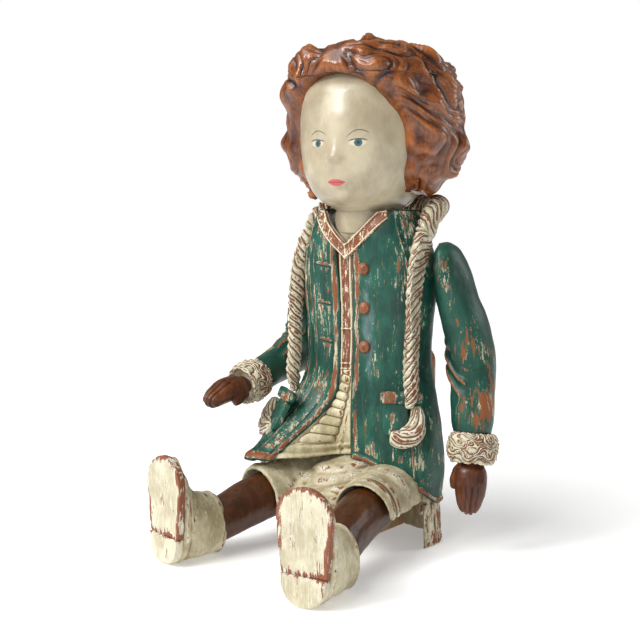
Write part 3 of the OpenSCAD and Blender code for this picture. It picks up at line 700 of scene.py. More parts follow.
front = smooth((-p[:, 1] - 44) / 8) * smooth((40 - np.abs(p[:, 0])) / 14)
ring = np.hypot((p[:, 0] + 12) * 0.8, p[:, 2] - 150)
relief += front * 0.7 * np.sin(ring * 0.62)
cut_relief(skirt.data, relief)
in_place(skirt, skirt_paint, "torso", "cream_dress_paint", "skirt")

skirt_table = [[0, 90, -58, 43], [39, 88, -58, 43], [60, 83.5, -50, 42]]


def pleat_point(u, v):
    return body_point(skirt_table, lerp(0.6, 48, v), lerp(-14, 194, u), -0.6)


def pleat_relief(u, v, p):
    fold = np.abs(np.sin(np.pi * (u * 27 + 0.5 * drift(p, 34, 47) + 0.12 * np.sin(v * 4)))) ** 0.6
    return tooled(p, 48) + 3.4 * fold - 2.6 + 1.0 * line(p[:, 2] - 5, 2.5)


pleats = carve("pleated_hem", 330, 50, pleat_point, pleat_relief, closed=False)
walled(pleats, 3)
rub(pleats, 0.25 * line(points_of(pleats.data)[:, 2], 8))
in_place(pleats, skirt_paint, "torso", "cream_dress_paint")

# ---------------------------------------------------------------- rope-like fur edging
# Rolls of fur edge the coat's fronts and run round the back of the neck. They are carved as slanting
# tufts, cream on top with the wood showing between them.


def curve_through(rows, t):
    """A smooth curve through rows of numbers, t from 0 to 1."""
    rows = np.array(rows, float)
    steps = np.r_[0, np.cumsum(np.linalg.norm(np.diff(rows[:, :3], axis=0), axis=1))]
    s = t * steps[-1]
    slope = np.gradient(rows, steps, axis=0)
    i = np.clip(np.searchsorted(steps, s, side="right") - 1, 0, len(rows) - 2)
    gap = steps[i + 1] - steps[i]
    f = ((s - steps[i]) / gap)[:, None]
    gap = gap[:, None]
    return ((1 + 2 * f) * (1 - f) ** 2 * rows[i] + f * (1 - f) ** 2 * gap * slope[i]
            + f * f * (3 - 2 * f) * rows[i + 1] + f * f * (f - 1) * gap * slope[i + 1])


def roll_point(path, across, tip=0.02):
    """Places round a path of [x, y, z, half width, half depth], closed by a rounded tip at each end."""
    across = np.array(across, float)

    def place(u, v):
        row = curve_through(path, v)
        before, after = (curve_through(path, np.clip(v + d, 0, 1))[:, :3] for d in (-0.004, 0.004))
        ahead = after - before
        ahead /= np.linalg.norm(ahead, axis=1)[:, None]
        wide = across - ahead * (ahead @ across)[:, None]
        wide /= np.linalg.norm(wide, axis=1)[:, None]
        deep = np.cross(ahead, wide)
        near = np.clip(1 - np.minimum(v, 1 - v) / tip, 0, 1)
        close = np.sqrt(np.clip(1 - near * near, 0, 1))[:, None]
        turn = (u * 2 * np.pi)[:, None]
        return row[:, :3] + close * (wide * row[:, 3:4] * np.cos(turn) + deep * row[:, 4:5] * np.sin(turn))
    return place


def tufts(length, strands, slant, depth, seed):
    """Relief of slanting tufts round a roll."""
    def relief(u, v, p):
        part = u * strands + v * length / slant + 0.16 * drift(p, 18, seed)
        crown = np.abs(np.sin(np.pi * part))
        breaks = np.abs(np.sin(np.pi * (v * length / 26 + 0.37 * np.floor(part))))
        hairs = 0.16 * np.sin(2 * np.pi * (part * 3 + 0.3 * drift(p, 9, seed + 1)))
        ends = smooth(np.minimum(v, 1 - v) * length / 5)
        return ends * (depth * (crown * (0.6 + 0.4 * breaks ** 0.4) - 0.75) + hairs)
    return relief


fur_paint = aged_paint("fur_paint", (0.46, 0.41, 0.27), (0.72, 0.67, 0.5), (0.86, 0.84, 0.72), rubbed_wood,
                       wear=-0.04, groove=1.0, stretch=(1, 1, 2), gloss=0.4)
shoulder_y, shoulder_z = 2, 308
sleeve_side, swept_radius, sweep_slope = 85.3, 62, 0.09


def beside_sleeve(place):
    """The roll is planed flat where the sleeve swings past it."""
    def planed(u, v):
        p = place(u, v)
        from_bolt = np.hypot(p[:, 1] - shoulder_y, p[:, 2] - shoulder_z)
        limit = sleeve_side + sweep_slope * np.maximum(from_bolt - swept_radius, 0)
        over = np.abs(p[:, 0]) - limit
        p[:, 0] = np.sign(p[:, 0]) * (limit + np.where(over > -3, -np.maximum(3 - (over + 3) * 0.5, 0), over))
        return p
    return planed


edge_path = [(80, -50, 160, 3, 3), (83, -47, 168, 6, 6), (84, -47, 180, 8, 8), (83, -46, 210, 8.5, 8.5),
             (85, -44, 245, 9.5, 9.5), (86, -42, 278, 11, 11), (85, -37, 305, 11.5, 11.5),
             (83, -27, 330, 12, 12), (81, -18, 345, 12, 12)]
for side, word in ((1, "left"), (-1, "right")):
    path = [(side * x, y, z, w, d) for x, y, z, w, d in edge_path]
    edging = carve(f"fur_roll_{word}", 90, 330, beside_sleeve(roll_point(path, (side, 1, 0))),
                   tufts(195, 5, -9 * side, 3.4, 51))
    in_place(edging, fur_paint, "torso", "cream_fur_paint", f"fur_edge_{word}")
half = [(81, -18, 345, 12, 12), (79, -8, 360, 12, 12), (75, 8, 371, 12, 12), (63, 31, 375, 12, 12),
        (44, 46, 375.5, 12, 12), (22, 51, 375.5, 12, 12)]
path = [(-x, y, z, w, d) for x, y, z, w, d in half] + [(0, 52, 375.5, 12, 12)] + half[::-1]
neck_roll = carve("fur_roll_neck", 90, 460, beside_sleeve(roll_point(path, (0, 0, 1), 0.01)),
                  tufts(290, 5, 9, 3.4, 53))
in_place(neck_roll, fur_paint, "torso", "cream_fur_paint", "fur_collar")

# ---------------------------------------------------------------- buttons
# Three turned wooden buttons are pegged into the left front, brown and darker round their rims.

button_paint = timber("button_paint", (0.14, 0.042, 0.014), (0.3, 0.1, 0.035), 0.35)
profile = [(0, -4), (6.6, -4), (7, -1), (7, 1.6), (6.2, 3.3), (5, 4), (4.4, 3.7), (3.6, 4.3), (1.8, 5.2),
           (0, 5.5)]
bm = bmesh.new()
for z in (222, 265, 308):
    spot = coat_point(np.array([z]), front_angle(coat_table, np.array([z]), 24.0))[0]
    ring = [bm.verts.new((r * mm, 0, h * mm)) for r, h in profile]
    edges = [bm.edges.new(pair) for pair in zip(ring, ring[1:])]
    spun = bmesh.ops.spin(bm, geom=ring + edges, cent=(0, 0, 0), axis=(0, 0, 1), angle=radians(360),
                          steps=40, use_merge=True)
    fresh = [v for v in bm.verts if not v.tag]
    turn = Matrix.Rotation(radians(12), 4, "Z") @ Matrix.Rotation(radians(90), 4, "X")
    bmesh.ops.transform(bm, verts=fresh, matrix=Matrix.Translation(Vector(spot) * mm) @ turn)
    for v in bm.verts:
        v.tag = True
bmesh.ops.remove_doubles(bm, verts=bm.verts, dist=0.02 * mm)
bmesh.ops.recalc_face_normals(bm, faces=bm.faces)
buttons = linked("button_row", bpy.data.meshes.new("button_row"))
bm.to_mesh(buttons.data)
bm.free()
buttons.data.shade_smooth()
rounding = buttons.modifiers.new("round", "SUBSURF")
rounding.levels = rounding.render_levels = 1
in_place(buttons, button_paint, "torso", "button_brown", "coat_buttons")

# ---------------------------------------------------------------- pockets
# A green flap and pouch stand on the flare of each front, with a fur roll down the pouch's outer
# edge and round its foot.


def pebble(size, square, centre=(0, 0, 0), frame_of=None):
    """A closed form between an egg and a block, in a local frame."""
    half = np.array(size) / 2

    def power(value):
        return np.sign(value) * np.abs(value) ** square

    def place(u, v):
        a, b = u * 2 * np.pi, (v - 0.5) * np.pi
        level = power(np.cos(b))
        unit = np.stack([level * power(np.cos(a)), level * power(np.sin(a)), power(np.sin(b))], -1)
        local = unit * half + np.array(centre)
        return local if frame_of is None else moved(local, frame_of)
    return place


def moved(points, matrix):
    m = np.array(matrix)
    return points @ m[:3, :3].T + m[:3, 3]


pocket_marks = {1: (70, -46, 146, -3), -1: (78, -80, 138, -27)}
for side, word in ((1, "left"), (-1, "right")):
    x, y, z, lean = pocket_marks[side]
    spot = Matrix.Diagonal((side, 1, 1, 1)) @ Matrix.Translation((x, y, z)) \
        @ Matrix.Rotation(radians(34), 4, "Z") @ Matrix.Rotation(radians(lean), 4, "X")
    flap = carve(f"pocket_flap_{word}", 110, 60, pebble((46, 11, 13), 0.3, (0, -1, 24), spot),
                 lambda u, v, p: tooled(p, 61) + 0.5 * drift(p, 14, 62))
    pouch = carve(f"pocket_pouch_{word}", 90, 80, pebble((28, 10, 38), 0.4, (-6, -0.5, 1), spot),
                  lambda u, v, p: tooled(p, 63) + 0.7 * drift(p * (1, 1, 0.4), 16, 64))
    local_path = [(16, -5, 16, 5, 5), (17.5, -5, 1, 8, 8.5), (13, -5, -14, 8, 12), (2, -5, -20, 8, 11),
                  (-12, -4, -18, 6.5, 8)]
    placed = moved(np.array(local_path, float)[:, :3], spot)
    path = [(*q, w, d) for q, (_, _, _, w, d) in zip(placed, local_path)]
    out = np.array(spot)[:3, :3] @ (0, -1, 0)
    roll = carve(f"pocket_roll_{word}", 70, 130, roll_point(path, out, 0.07),
                 tufts(80, 8, -26 * side, 2.4, 65))
    p = moved(points_of(flap.data), spot.inverted())
    rub(flap, 0.9 * line(p[:, 0] + 14, 7) * smooth(-p[:, 1] / 2))
    in_place(flap, coat_paint, "torso", "green_paint", f"pocket_{word}")
    in_place(pouch, coat_paint, "torso", "green_paint", f"pocket_{word}")
    in_place(roll, fur_paint, "torso", "cream_fur_paint", f"pocket_fur_{word}")

# ---------------------------------------------------------------- head
# A hollow head in two shells: the face is carved in front and painted over a smooth ground, with thin
# brush lines for brows and lids. It is fixed on the neck, a turned cone that stands in the bush.

head_table = [[370, 30, -47, 11], [373, 39, -60, 18], [379, 48, -73, 25], [390, 57, -85, 33],
              [410, 67, -92, 45], [440, 73, -93, 53], [470, 74, -92, 57], [500, 70, -87, 56],
              [518, 60, -75, 49], [532, 40, -55, 35], [540, 14, -30, 11]]
neck_y, head_turned = -17, 6
head_turn = Matrix.Translation((0, neck_y, 0)) @ Matrix.Rotation(radians(head_turned), 4, "Z") \
    @ Matrix.Translation((0, -neck_y, 0))
face_x, eye_x, eye_z, brow_z, nose_z, mouth_z = 6, 23.7, 442, 449, 427, 400.5


def head_place(z, t, inset=0):
    return body_point(head_table, z, t, inset, 0.9)


def face_point(u, v):
    z = lerp(370.2, 539.8, 0.5 - 0.5 * np.cos(v * np.pi))
    return moved(head_place(z, lerp(-180, 0, u)), head_turn)


def face_relief(u, v, p):
    local = moved(p, head_turn.inverted())
    x, z = local[:, 0] - face_x, local[:, 2]
    ahead = smooth((-local[:, 1] - 30) / 30)
    spot = lambda x0, z0, wide, tall: np.exp(-((x - x0) / wide) ** 2 - ((z - z0) / tall) ** 2)
    cut = 4.8 * spot(0, nose_z, 6.5, 6.5) + 1.6 * spot(0, nose_z + 9, 7.5, 11)
    cut += 2.4 * (spot(-6.8, nose_z - 2, 4.4, 4) + spot(6.8, nose_z - 2, 4.4, 4))
    cut -= 3.4 * (spot(-eye_x, eye_z + 1, 13, 9) + spot(eye_x, eye_z + 1, 13, 9))
    cut += 1.9 * (spot(-eye_x, eye_z, 8, 5) + spot(eye_x, eye_z, 8, 5))
    cut += 1.4 * (spot(-34, 418, 14, 13) + spot(34, 418, 14, 13))
    cut += 2.2 * spot(0, mouth_z, 12, 5) - 1.1 * line(z - mouth_z - 0.5, 0.9) * smooth((11 - np.abs(x)) / 3)
    cut -= 0.8 * spot(0, nose_z - 12, 2.6, 5) + 1.2 * spot(0, mouth_z - 9, 12, 3.2)
    cut += 2.5 * spot(0, 384, 15, 8)
    return ahead * cut + 0.1 * drift(p, 22, 71)


def face_finish():
    """Grey-cream face paint with its painted features."""
    material, wire = finish_coat("face_finish")
    where = wire.make("TexCoord", out=3)
    spot = {0: where, 1: (0, neck_y * mm, 0)}
    centred = wire.make("VectorMath", {"operation": "SUBTRACT"}, spot)
    turn = {"Vector": centred, "Rotation": (0, 0, radians(-head_turned))}
    local = wire.make("Mapping", {"vector_type": "POINT"}, turn)
    x = wire.make("SeparateXYZ", None, {0: local}, out=0) * 1000 - face_x
    y = wire.make("SeparateXYZ", None, {0: local}, out=1) * 1000
    z = wire.make("SeparateXYZ", None, {0: local}, out=2) * 1000
    ahead = y.fade(-46, -52)
    lines = grain(wire, 0.7 * mm, (1, 1, 22), 3)
    clouds = grain(wire, 34 * mm, (1, 1, 1.4), 4)
    crackle = grain(wire, 2.4 * mm, (1, 1, 7), 4)
    colour = tint(clouds.fade(0.3, 0.7), (0.34, 0.28, 0.18), (0.53, 0.46, 0.32))
    colour = tint(crackle.fade(0.55, 0.85) * 0.3, colour, (0.7, 0.64, 0.5))
    colour = tint(lines.fade(0.58, 0.8) * 0.25, colour, (0.22, 0.18, 0.11))

    def oval(x0, z0, wide, tall, soft=0.12):
        """1 inside an oval of these half sizes."""
        a, b = (x - x0) * (1 / wide), (z - z0) * (1 / tall)
        return (a * a + b * b).fade(1 + soft, 1 - soft)

    def arc(x0, z0, wide, rise, tilt, thick):
        """1 along a brush stroke that rises to its middle and thins to its ends."""
        a = (x - x0) * (1 / wide)
        away = z - z0 - (a * a * -rise + a * tilt)
        taper = (a * a).fade(1.05, 0.35)
        return away.math("ABSOLUTE", away).fade(thick, thick * 0.4) * taper

    for side in (-1, 1):
        white = oval(side * eye_x, eye_z, 8.5, 3.6, 0.4)
        colour = tint(white * ahead * 0.45, colour, (0.78, 0.74, 0.62))
        iris = oval(side * eye_x + 0.8, eye_z - 0.2, 4, 3.9)
        blue = tint(grain(wire, 1.2 * mm), (0.03, 0.08, 0.1), (0.07, 0.15, 0.18))
        colour = tint(iris * ahead, colour, blue)
        pupil = oval(side * eye_x + 0.9, eye_z - 0.1, 1.6, 1.6, 0.6)
        colour = tint(pupil * ahead * 0.85, colour, (0.015, 0.03, 0.035))
        lid = arc(side * eye_x, eye_z + 3.6, 10.5, 2.2, 0.5 * side, 0.95)
        colour = tint(lid * ahead * 0.9, colour, (0.07, 0.05, 0.035))
        brow = arc(side * (eye_x - 0.6) + 0.8, brow_z + 5.8, 12.5, 6.5, 1.2 + 1.3 * side, 0.75)
        colour = tint(brow * ahead * 0.85, colour, (0.06, 0.04, 0.03))
    bow = (x.math("ABSOLUTE", x) * -0.5 + 1.6).fade(0, 1) * 0.6
    half_wide = x * (1 / 10.5)
    shape = (half_wide * half_wide * -1 + 1).math("MAXIMUM", half_wide * half_wide * -1 + 1, 0)
    upper = (z - mouth_z - 0.3) + bow * 0.6 - shape * 3.4
    lower = (mouth_z - z) - shape * 3.9
    lips = upper.fade(0.25, -0.25) * lower.fade(0.25, -0.25) * shape.fade(0.02, 0.1)
    colour = tint(lips * ahead, colour, tint(lines, (0.42, 0.055, 0.06), (0.62, 0.11, 0.11)))
    part = (z - mouth_z + half_wide * half_wide * -0.8)
    parting = part.math("ABSOLUTE", part).fade(0.55, 0.2) * shape.fade(0, 0.15)
    colour = tint(parting * ahead * 0.8, colour, (0.2, 0.015, 0.02))
    gloss = 0.3 + clouds * 0.12
    dress_shader(wire, Base_Color=colour, Roughness=gloss, Coat_Weight=0.35, Coat_Roughness=0.18,
                 Normal=bumped(lines * 0.5 + crackle * 0.4, 0.12 * mm))
    return material


face_paint = face_finish()
face = carve("face", 230, 190, face_point, face_relief, closed=False)
walled(face, 4)
in_place(face, face_paint, "head", "face_paint", "face_shell")
refinish(face_paint, "skull_shell", "neck")


def throat_point(u, v):
    z = lerp(322, 369, v)
    s = (z - 322) / 47
    a = 2 * np.pi * u
    return np.stack([lerp(56, 40, s ** 0.7) * np.sin(a), -6 - 44 * np.cos(a), z], -1)


throat = carve("throat", 90, 40, throat_point, lambda u, v, p: tooled(p, 75) - 1.5 * line(p[:, 0], 6),
               closed=False)
walled(throat, 2)
in_place(throat, face_paint, "torso", "face_paint")

# ---------------------------------------------------------------- hair
# One thick cap of carved hair frames the face. It is cut in waved locks that spread from the top of
# the hairline, stained auburn and varnished.

hair_table = [[391, 68, -76, 44], [402, 88, -97, 64], [420, 102, -108, 78], [445, 107, -113, 84],
              [475, 106, -114, 84], [505, 101, -113, 80], [530, 88, -104, 70], [550, 62, -80, 50],
              [562, 26, -46, 16]]
hairline_z, brow_line, temple_x = 514, 445, 66


def hairline_reach(z):
    """Height above the temple as a share of the way to the top or foot of the face's opening."""
    return (z - brow_line) / np.where(z > brow_line, hairline_z - brow_line, 92)


def hair_sheet(u, v):
    """Places of the head's wall and of the hair's outside, and the distance from the hair's edge."""
    z = lerp(390, 562, 0.5 - 0.5 * np.cos(v * np.pi))
    wide = at(head_table, np.clip(z, 371, 520), 1)
    opening = temple_x * np.sqrt(np.clip(1 - hairline_reach(z) ** 2, 0, 1))
    to_angle = lambda x: np.arcsin(np.clip(x / wide, 0, 0.97) ** (1 / 0.9))
    start = np.degrees(to_angle(opening)) - 90
    t = lerp(start, 180 - start, u)
    outer = body_point(hair_table, z, t, 0, 0.9)
    crown = smooth((z - 535) / 27) ** 2
    outer[:, :2] = lerp(outer[:, :2], np.array([0, -12]), (crown * 0.98)[:, None])
    inner = body_point(head_table, np.clip(z, 371, 538), t, 3, 0.9)
    turned = np.radians(np.minimum(t, 180 - t) + 90)
    temple = to_angle(np.minimum(temple_x, wide * 0.96))
    aside = np.where(turned < temple, wide * np.sin(np.minimum(turned, temple)) ** 0.9,
                     temple_x + (turned - temple) * 78)
    edge = (np.hypot(aside / temple_x, hairline_reach(z)) - 1) * 64
    return inner, outer, np.minimum(np.maximum(edge, 0), v * 230)


def hair_place(u, v):
    inner, outer, edge = hair_sheet(u, v)
    near = np.clip(1 - edge / 44, 0, 1)
    swell = 0.24 * smooth(edge / 2.5) + 0.76 * np.sqrt(1 - near ** 2)
    return moved(lerp(inner, outer, swell[:, None]), head_turn)


def hair_relief(u, v, p):
    away = p - (0, -15, 470)
    away /= np.linalg.norm(away, axis=1)[:, None]
    part = np.array([0.12, -0.72, 0.68])
    part /= np.linalg.norm(part)
    side = np.cross(part, (1, 0, 0))
    side /= np.linalg.norm(side)
    fall = np.arccos(np.clip(away @ part, -1, 1))
    spin = np.arctan2(away @ np.cross(part, side), away @ side)
    wave = 0.4 * np.sin(fall * 7 + 2.2 * drift(p, 90, 81)) + 0.6 * drift(p, 60, 82)
    course = spin * 19 / (2 * np.pi) + wave
    lock = np.floor(course)
    crown = np.sin(np.pi * (course - lock)) ** 0.8
    swell = 0.5 + 0.5 * np.sin(fall * 8 + lock * 2.4 + drift(p, 40, 86))
    strand = np.abs(np.sin(np.pi * (course * 2.3 + 0.5 * drift(p, 34, 83))))
    fine = np.abs(np.sin(np.pi * (course * 6 + 0.6 * drift(p, 20, 84))))
    thin = smooth(fall / 0.45)
    lumps = drift(p, 38, 85) + 0.6 * drift(p, 20, 87)
    cut = 3.6 * lumps + thin * (5.4 * crown * (0.3 + 0.7 * swell) - 2.8 + 1.4 * strand + 0.5 * fine) - 1
    return cut * (0.25 + 0.75 * smooth(hair_sheet(u, v)[2] / 9))


def hair_finish():
    material, wire = finish_coat("hair_finish")
    proud = wire.make("Attribute", {"attribute_name": "proud"}, out=2)
    patches = grain(wire, 30 * mm, (1, 1, 1), 4)
    streaks = grain(wire, 3 * mm, (1, 1, 3), 4, 0.6, 0.8)
    # Random colour variation of the auburn wood, made lighter where the locks stand proud as a painted
    # highlight.
    stain_and_ridge_highlight = (streaks * 0.6 + patches * 0.6 + proud * 0.12).fade(0.4, 0.85)
    colour = tint(stain_and_ridge_highlight, (0.085, 0.017, 0.002), (0.3, 0.085, 0.011))
    # Painted highlight: the ridges and streaks are lightened towards a bright orange.
    colour = tint((proud * 0.4 + streaks).fade(0.8, 1.5) * 0.5, colour, (0.45, 0.17, 0.03))
    # Painted shade: the grooves between the locks are darkened nearly to black.
    colour = tint(proud.fade(0.15, -1.6) * 0.88, colour, (0.016, 0.003, 0.001))
    dress_shader(wire, Base_Color=colour, Roughness=0.3 + streaks * 0.15, Coat_Weight=0.5,
                 Coat_Roughness=0.12, Specular_IOR_Level=0.4, Normal=bumped(streaks, 0.25 * mm))
    return material


hair = carve("hair", 380, 240, hair_place, hair_relief)
in_place(hair, hair_finish(), "head", "auburn_hair", "hair_crown", "hair_fall")

# ---------------------------------------------------------------- sleeves
# Each arm is one carved limb, flat where it turns against the shoulder. The left hangs; the right is
# bent forwards. The paint is rubbed through to the wood down the outside.

sleeve_paint = aged_paint("sleeve_paint", (0.005, 0.036, 0.024), (0.014, 0.085, 0.057), cream_ground,
                          (0.3, 0.1, 0.03), wear=-0.13, bare=0.14)
top = [(92, 3, 336, 3, 8), (94, 3, 331, 7, 17), (98, 3, 319, 12, 24), (102, 4, 301, 16, 28),
       (106, 9, 270, 20, 28)]
sleeve_paths = {
    1: top + [(114, 14, 240, 23, 30), (119, 15, 210, 26, 29), (127, 6, 172, 24, 25),
              (135, -5, 136, 21, 21), (137, -6.8, 129.7, 19, 19)],
    -1: top + [(113, 14, 240, 23, 29), (116, 14, 218, 24, 30), (118, 4, 202, 24, 27), (118, -16, 194, 23, 24),
               (117, -42, 186, 21, 21), (116, -68, 178, 19.5, 19.5), (116, -75.2, 175.2, 19, 19)]}
elbows = {1: (100, -8, 200), -1: (-112, -12, 212)}


inner_face = 86.6


def flat_inside(place, side):
    """The sleeve is planed flat where it turns against the shoulder."""
    def pressed(u, v):
        p = place(u, v)
        over = np.clip(inner_face - p[:, 0] * side, 0, None) * smooth((p[:, 2] - 248) / 8)
        p[:, 0] += side * over
        return p
    return pressed


def sleeve_relief(side):
    def relief(u, v, p):
        out = p[:, 0] * side
        cut = tooled(p, 91) + 0.5 * drift(p * (1, 1, 0.35), 26, 92)
        near = np.linalg.norm(p - elbows[side], axis=1)
        fold = smooth((46 - near) / 30)
        slope = p[:, 2] + 0.55 * out - 0.35 * p[:, 1]
        crease = 1 - 2 * np.abs(np.sin(slope / 6.5 + 1.2 * drift(p, 40, 93))) ** 0.7
        cut += fold * 2.4 * crease * smooth(0.6 + drift(p, 30, 94))
        cut += 1.2 * line(out - 90.5, 1.6) * smooth((p[:, 2] - 262) / 12)
        return cut * smooth((out - 87) / 2)
    return relief


for side, word in ((1, "left"), (-1, "right")):
    path = [(side * x, y, z, w, d) for x, y, z, w, d in sleeve_paths[side]]
    sleeve = carve(f"arm_{word}", 130, 260, flat_inside(roll_point(path, (1, 0, 0), 0.004), side),
                   sleeve_relief(side))
    p = points_of(sleeve.data)
    outer_line = p[:, 0] * side - 86 - 52 * np.sin(np.clip((345 - p[:, 2]) / 200, 0, 1.5) * 1.2)
    worn = 0.42 * line(p[:, 2] - 205, 50) + 0.4 * line(p[:, 2] - 305, 22) + 0.3 * line(p[:, 2] - 150, 25)
    rub(sleeve, smooth((outer_line + 16) / 16) * worn * (0.8 + 0.5 * drift(p * (1, 1, 0.4), 22, 95)))
    in_place(sleeve, sleeve_paint, f"{word}_arm", "green_paint", f"sleeve_{word}")

# ---------------------------------------------------------------- cuffs
# A fur cuff, a fat ring carved in wavy tufts, closes each sleeve over the wrist's dowel.

wrists = {1: ((138, -9, 119), (0.07, -0.2, -0.97), 28), -1: ((116, -86, 173), (0, -0.98, -0.17), 25)}


def wrist_frame(side):
    spot, way, _ = wrists[side]
    way = Vector(way).normalized()
    tilt = Matrix.Rotation(np.arctan2(way.y, way.x), 4, "Z") @ Matrix.Rotation(np.arccos(way.z), 4, "Y")
    return Matrix.Diagonal((side, 1, 1, 1)) @ Matrix.Translation(spot) @ tilt


def cuff_place(side):
    r = wrists[side][2] - 0.5
    heights = [-14.9, -14.9, -12, -4, 4, 11, 16.5, 16.9, 12, 8]
    radii = [17, 22, r - 2.5, r, r, r - 2, 22.5, 20, 17.5, 12]

    def place(u, v):
        k = v * (len(radii) - 1)
        r_here = sum(np.interp(k + d, range(len(radii)), radii) for d in (-0.4, 0, 0.4)) / 3
        z_here = sum(np.interp(k + d, range(len(radii)), heights) for d in (-0.4, 0, 0.4)) / 3
        turn = u * 2 * np.pi * side
        return moved(np.stack([r_here * np.cos(turn), r_here * np.sin(turn), z_here], -1), wrist_frame(side))
    return place


def cuff_relief(side):
    def relief(u, v, p):
        local = moved(p, wrist_frame(side).inverted())
        rows = local[:, 2] / 5.6 + 1.1 * drift(p, 16, 101)
        lane = np.floor(rows)
        tuft = np.abs(np.sin(np.pi * rows)) ** 0.7
        breaks = np.abs(np.sin(np.pi * (u * 9 + 0.41 * lane + 0.25 * drift(p, 20, 102)))) ** 0.5
        hairs = 0.2 * np.sin(rows * 25)
        outside = smooth((np.hypot(local[:, 0], local[:, 1]) - 14) / 6)
        return outside * (3.2 * tuft * (0.35 + 0.65 * breaks) - 2 + hairs)
    return relief


for side, word in ((1, "left"), (-1, "right")):
    cuff = carve(f"fur_cuff_{word}", 170, 90, cuff_place(side), cuff_relief(side))
    in_place(cuff, fur_paint, f"{word}_arm", "cream_fur_paint", f"cuff_{word}")

# ---------------------------------------------------------------- hands
# Mitten-shaped hands with the fingers marked by shallow grooves and a separate thumb, stained dark
# brown and varnished, each on a dowel.


def varnish(name, dark, light, painted_highlight):
    """Brown-stained wood under glossy varnish, with a painted golden highlight where it stands proud and
    painted shade in its hollows.
    """
    material, wire = finish_coat(name)
    proud = wire.make("Attribute", {"attribute_name": "proud"}, out=2)
    figure = grain(wire, 5 * mm, (1, 1, 6), 4, 0.6, 0.7)
    patches = grain(wire, 30 * mm, (1, 1, 1), 4)
    colour = tint((figure * 0.6 + patches * 0.6).fade(0.45, 0.8), dark, light)
    # Painted highlight: a golden colour where the surface stands proud and on lighter patches.
    colour = tint((proud * 0.35 + patches + figure * 0.3).fade(0.8, 1.15) * 0.7, colour, painted_highlight)
    # Painted shade: the hollows are darkened towards a quarter of the dark brown.
    colour = tint(proud.fade(-0.1, -1.2) * 0.8, colour, [c * 0.25 for c in dark])
    dress_shader(wire, Base_Color=colour, Roughness=0.36 + figure * 0.16, Coat_Weight=0.25,
                 Coat_Roughness=0.15, Specular_IOR_Level=0.3, Normal=bumped(figure, 0.22 * mm))
    return material


# The last colour of each varnish is its painted highlight.
glove_varnish = varnish("glove_varnish", (0.05, 0.012, 0.003), (0.15, 0.042, 0.01), (0.3, 0.1, 0.025))
leg_varnish = varnish("leg_varnish", (0.042, 0.012, 0.002), (0.09, 0.027, 0.005), (0.2, 0.08, 0.016))
hand_path = [(0, 0, 8.5, 13, 11), (0, 0, 18, 14, 11), (0, 2, 30, 17, 13), (0, 2, 42, 17, 13),
             (0, 0, 54, 15, 11), (0, -3, 65, 11, 9), (0, -6, 72, 6, 6)]
thumb_path = [(-9, -2, 18, 5, 5), (-14, -4, 28, 6, 6), (-16.5, -6, 38, 5.5, 5.5), (-16, -8, 46, 4, 4)]
for side, word in ((1, "left"), (-1, "right")):
    turn = wrist_frame(side) @ Matrix.Rotation(radians(70 if side > 0 else 100), 4, "Z")
    lobes = []
    for name, path in ((f"mitten_{word}", hand_path), (f"thumb_{word}", thumb_path)):
        placed = moved(np.array(path, float)[:, :3], turn)
        rows = [(*q, w, d) for q, (_, _, _, w, d) in zip(placed, path)]
        across = np.array(turn)[:3, :3] @ (1, 0, 0)
        lobes.append(carve(name, 48, 60, roll_point(rows, across, 0.08), lambda u, v, p: 0 * u))
    bm = bmesh.new()
    for lobe in lobes:
        bm.from_mesh(lobe.data)
    bm.to_mesh(lobes[0].data)
    bm.free()
    bpy.data.objects.remove(lobes[1])
    hand = lobes[0]
    skin = hand.modifiers.new("skin", "REMESH")
    skin.mode = "VOXEL"
    skin.voxel_size = 0.7 * mm
    sanded = hand.modifiers.new("sanded", "SMOOTH")
    sanded.factor = 0.5
    sanded.iterations = 14
    baked(hand)
    hand.data.shade_smooth()
    p = points_of(hand.data)
    local = moved(p, turn.inverted())
    far = smooth((local[:, 2] - 36) / 8)
    relief = tooled(p, 111) + 0.25 * drift(p, 12, 112)
    for groove in (-7.2, 0, 7.2):
        relief -= 1.5 * far * line(local[:, 0] - groove * (1 - 0.25 * (local[:, 2] - 40) / 30), 1.1)
    relief += 0.5 * np.sin(local[:, 2] / 3.4) * smooth((30 - local[:, 2]) / 8)
    cut_relief(hand.data, relief)
    in_place(hand, glove_varnish, f"{word}_arm", "brown_varnish", f"hand_{word}")

# ---------------------------------------------------------------- legs
# Each leg is one straight limb turned on a pin at the hip, stained and varnished, with the marks of
# the spokeshave along it.

leg_line = [(0, 25, 2, 9, 9), (0, 20, 1, 19, 20), (0, 0, 0, 24, 26), (0, -26, -2, 24, 27),
            (0, -60, -5, 25, 27), (0, -112, -12, 26.5, 26.5), (2, -152, -22, 25, 25),
            (4, -176, -30, 24, 24), (5, -192, -34, 22, 23)]
for side, word in ((1, "left"), (-1, "right")):
    spot = (Matrix.Diagonal((side, 1, 1, 1)) @ Matrix.Translation((46, 0, 66))
            @ Matrix.Rotation(radians(10), 4, "Z"))
    placed = moved(np.array(leg_line, float)[:, :3], spot)
    path = [(*q, w, d) for q, (_, _, _, w, d) in zip(placed, leg_line)]
    across = np.array(spot)[:3, :3] @ (1, 0, 0)

    def leg_relief(u, v, p):
        facets = 0.3 * np.abs(np.sin(u * np.pi * 9 + 0.8 * drift(p, 60, 121)))
        return tooled(p, 123) + facets + 0.5 * drift(p, 40, 124) - 0.3

    limb = carve(f"limb_{word}", 110, 200, roll_point(path, across, 0.006), leg_relief)
    in_place(limb, leg_varnish, f"{word}_leg", "brown_varnish", f"leg_{word}")

# ---------------------------------------------------------------- shoes
# A cream shoe with a sole slab and a stepped heel block, doweled to the ankle. The paint is scraped
# along the sole and worn to the wood round its edge.

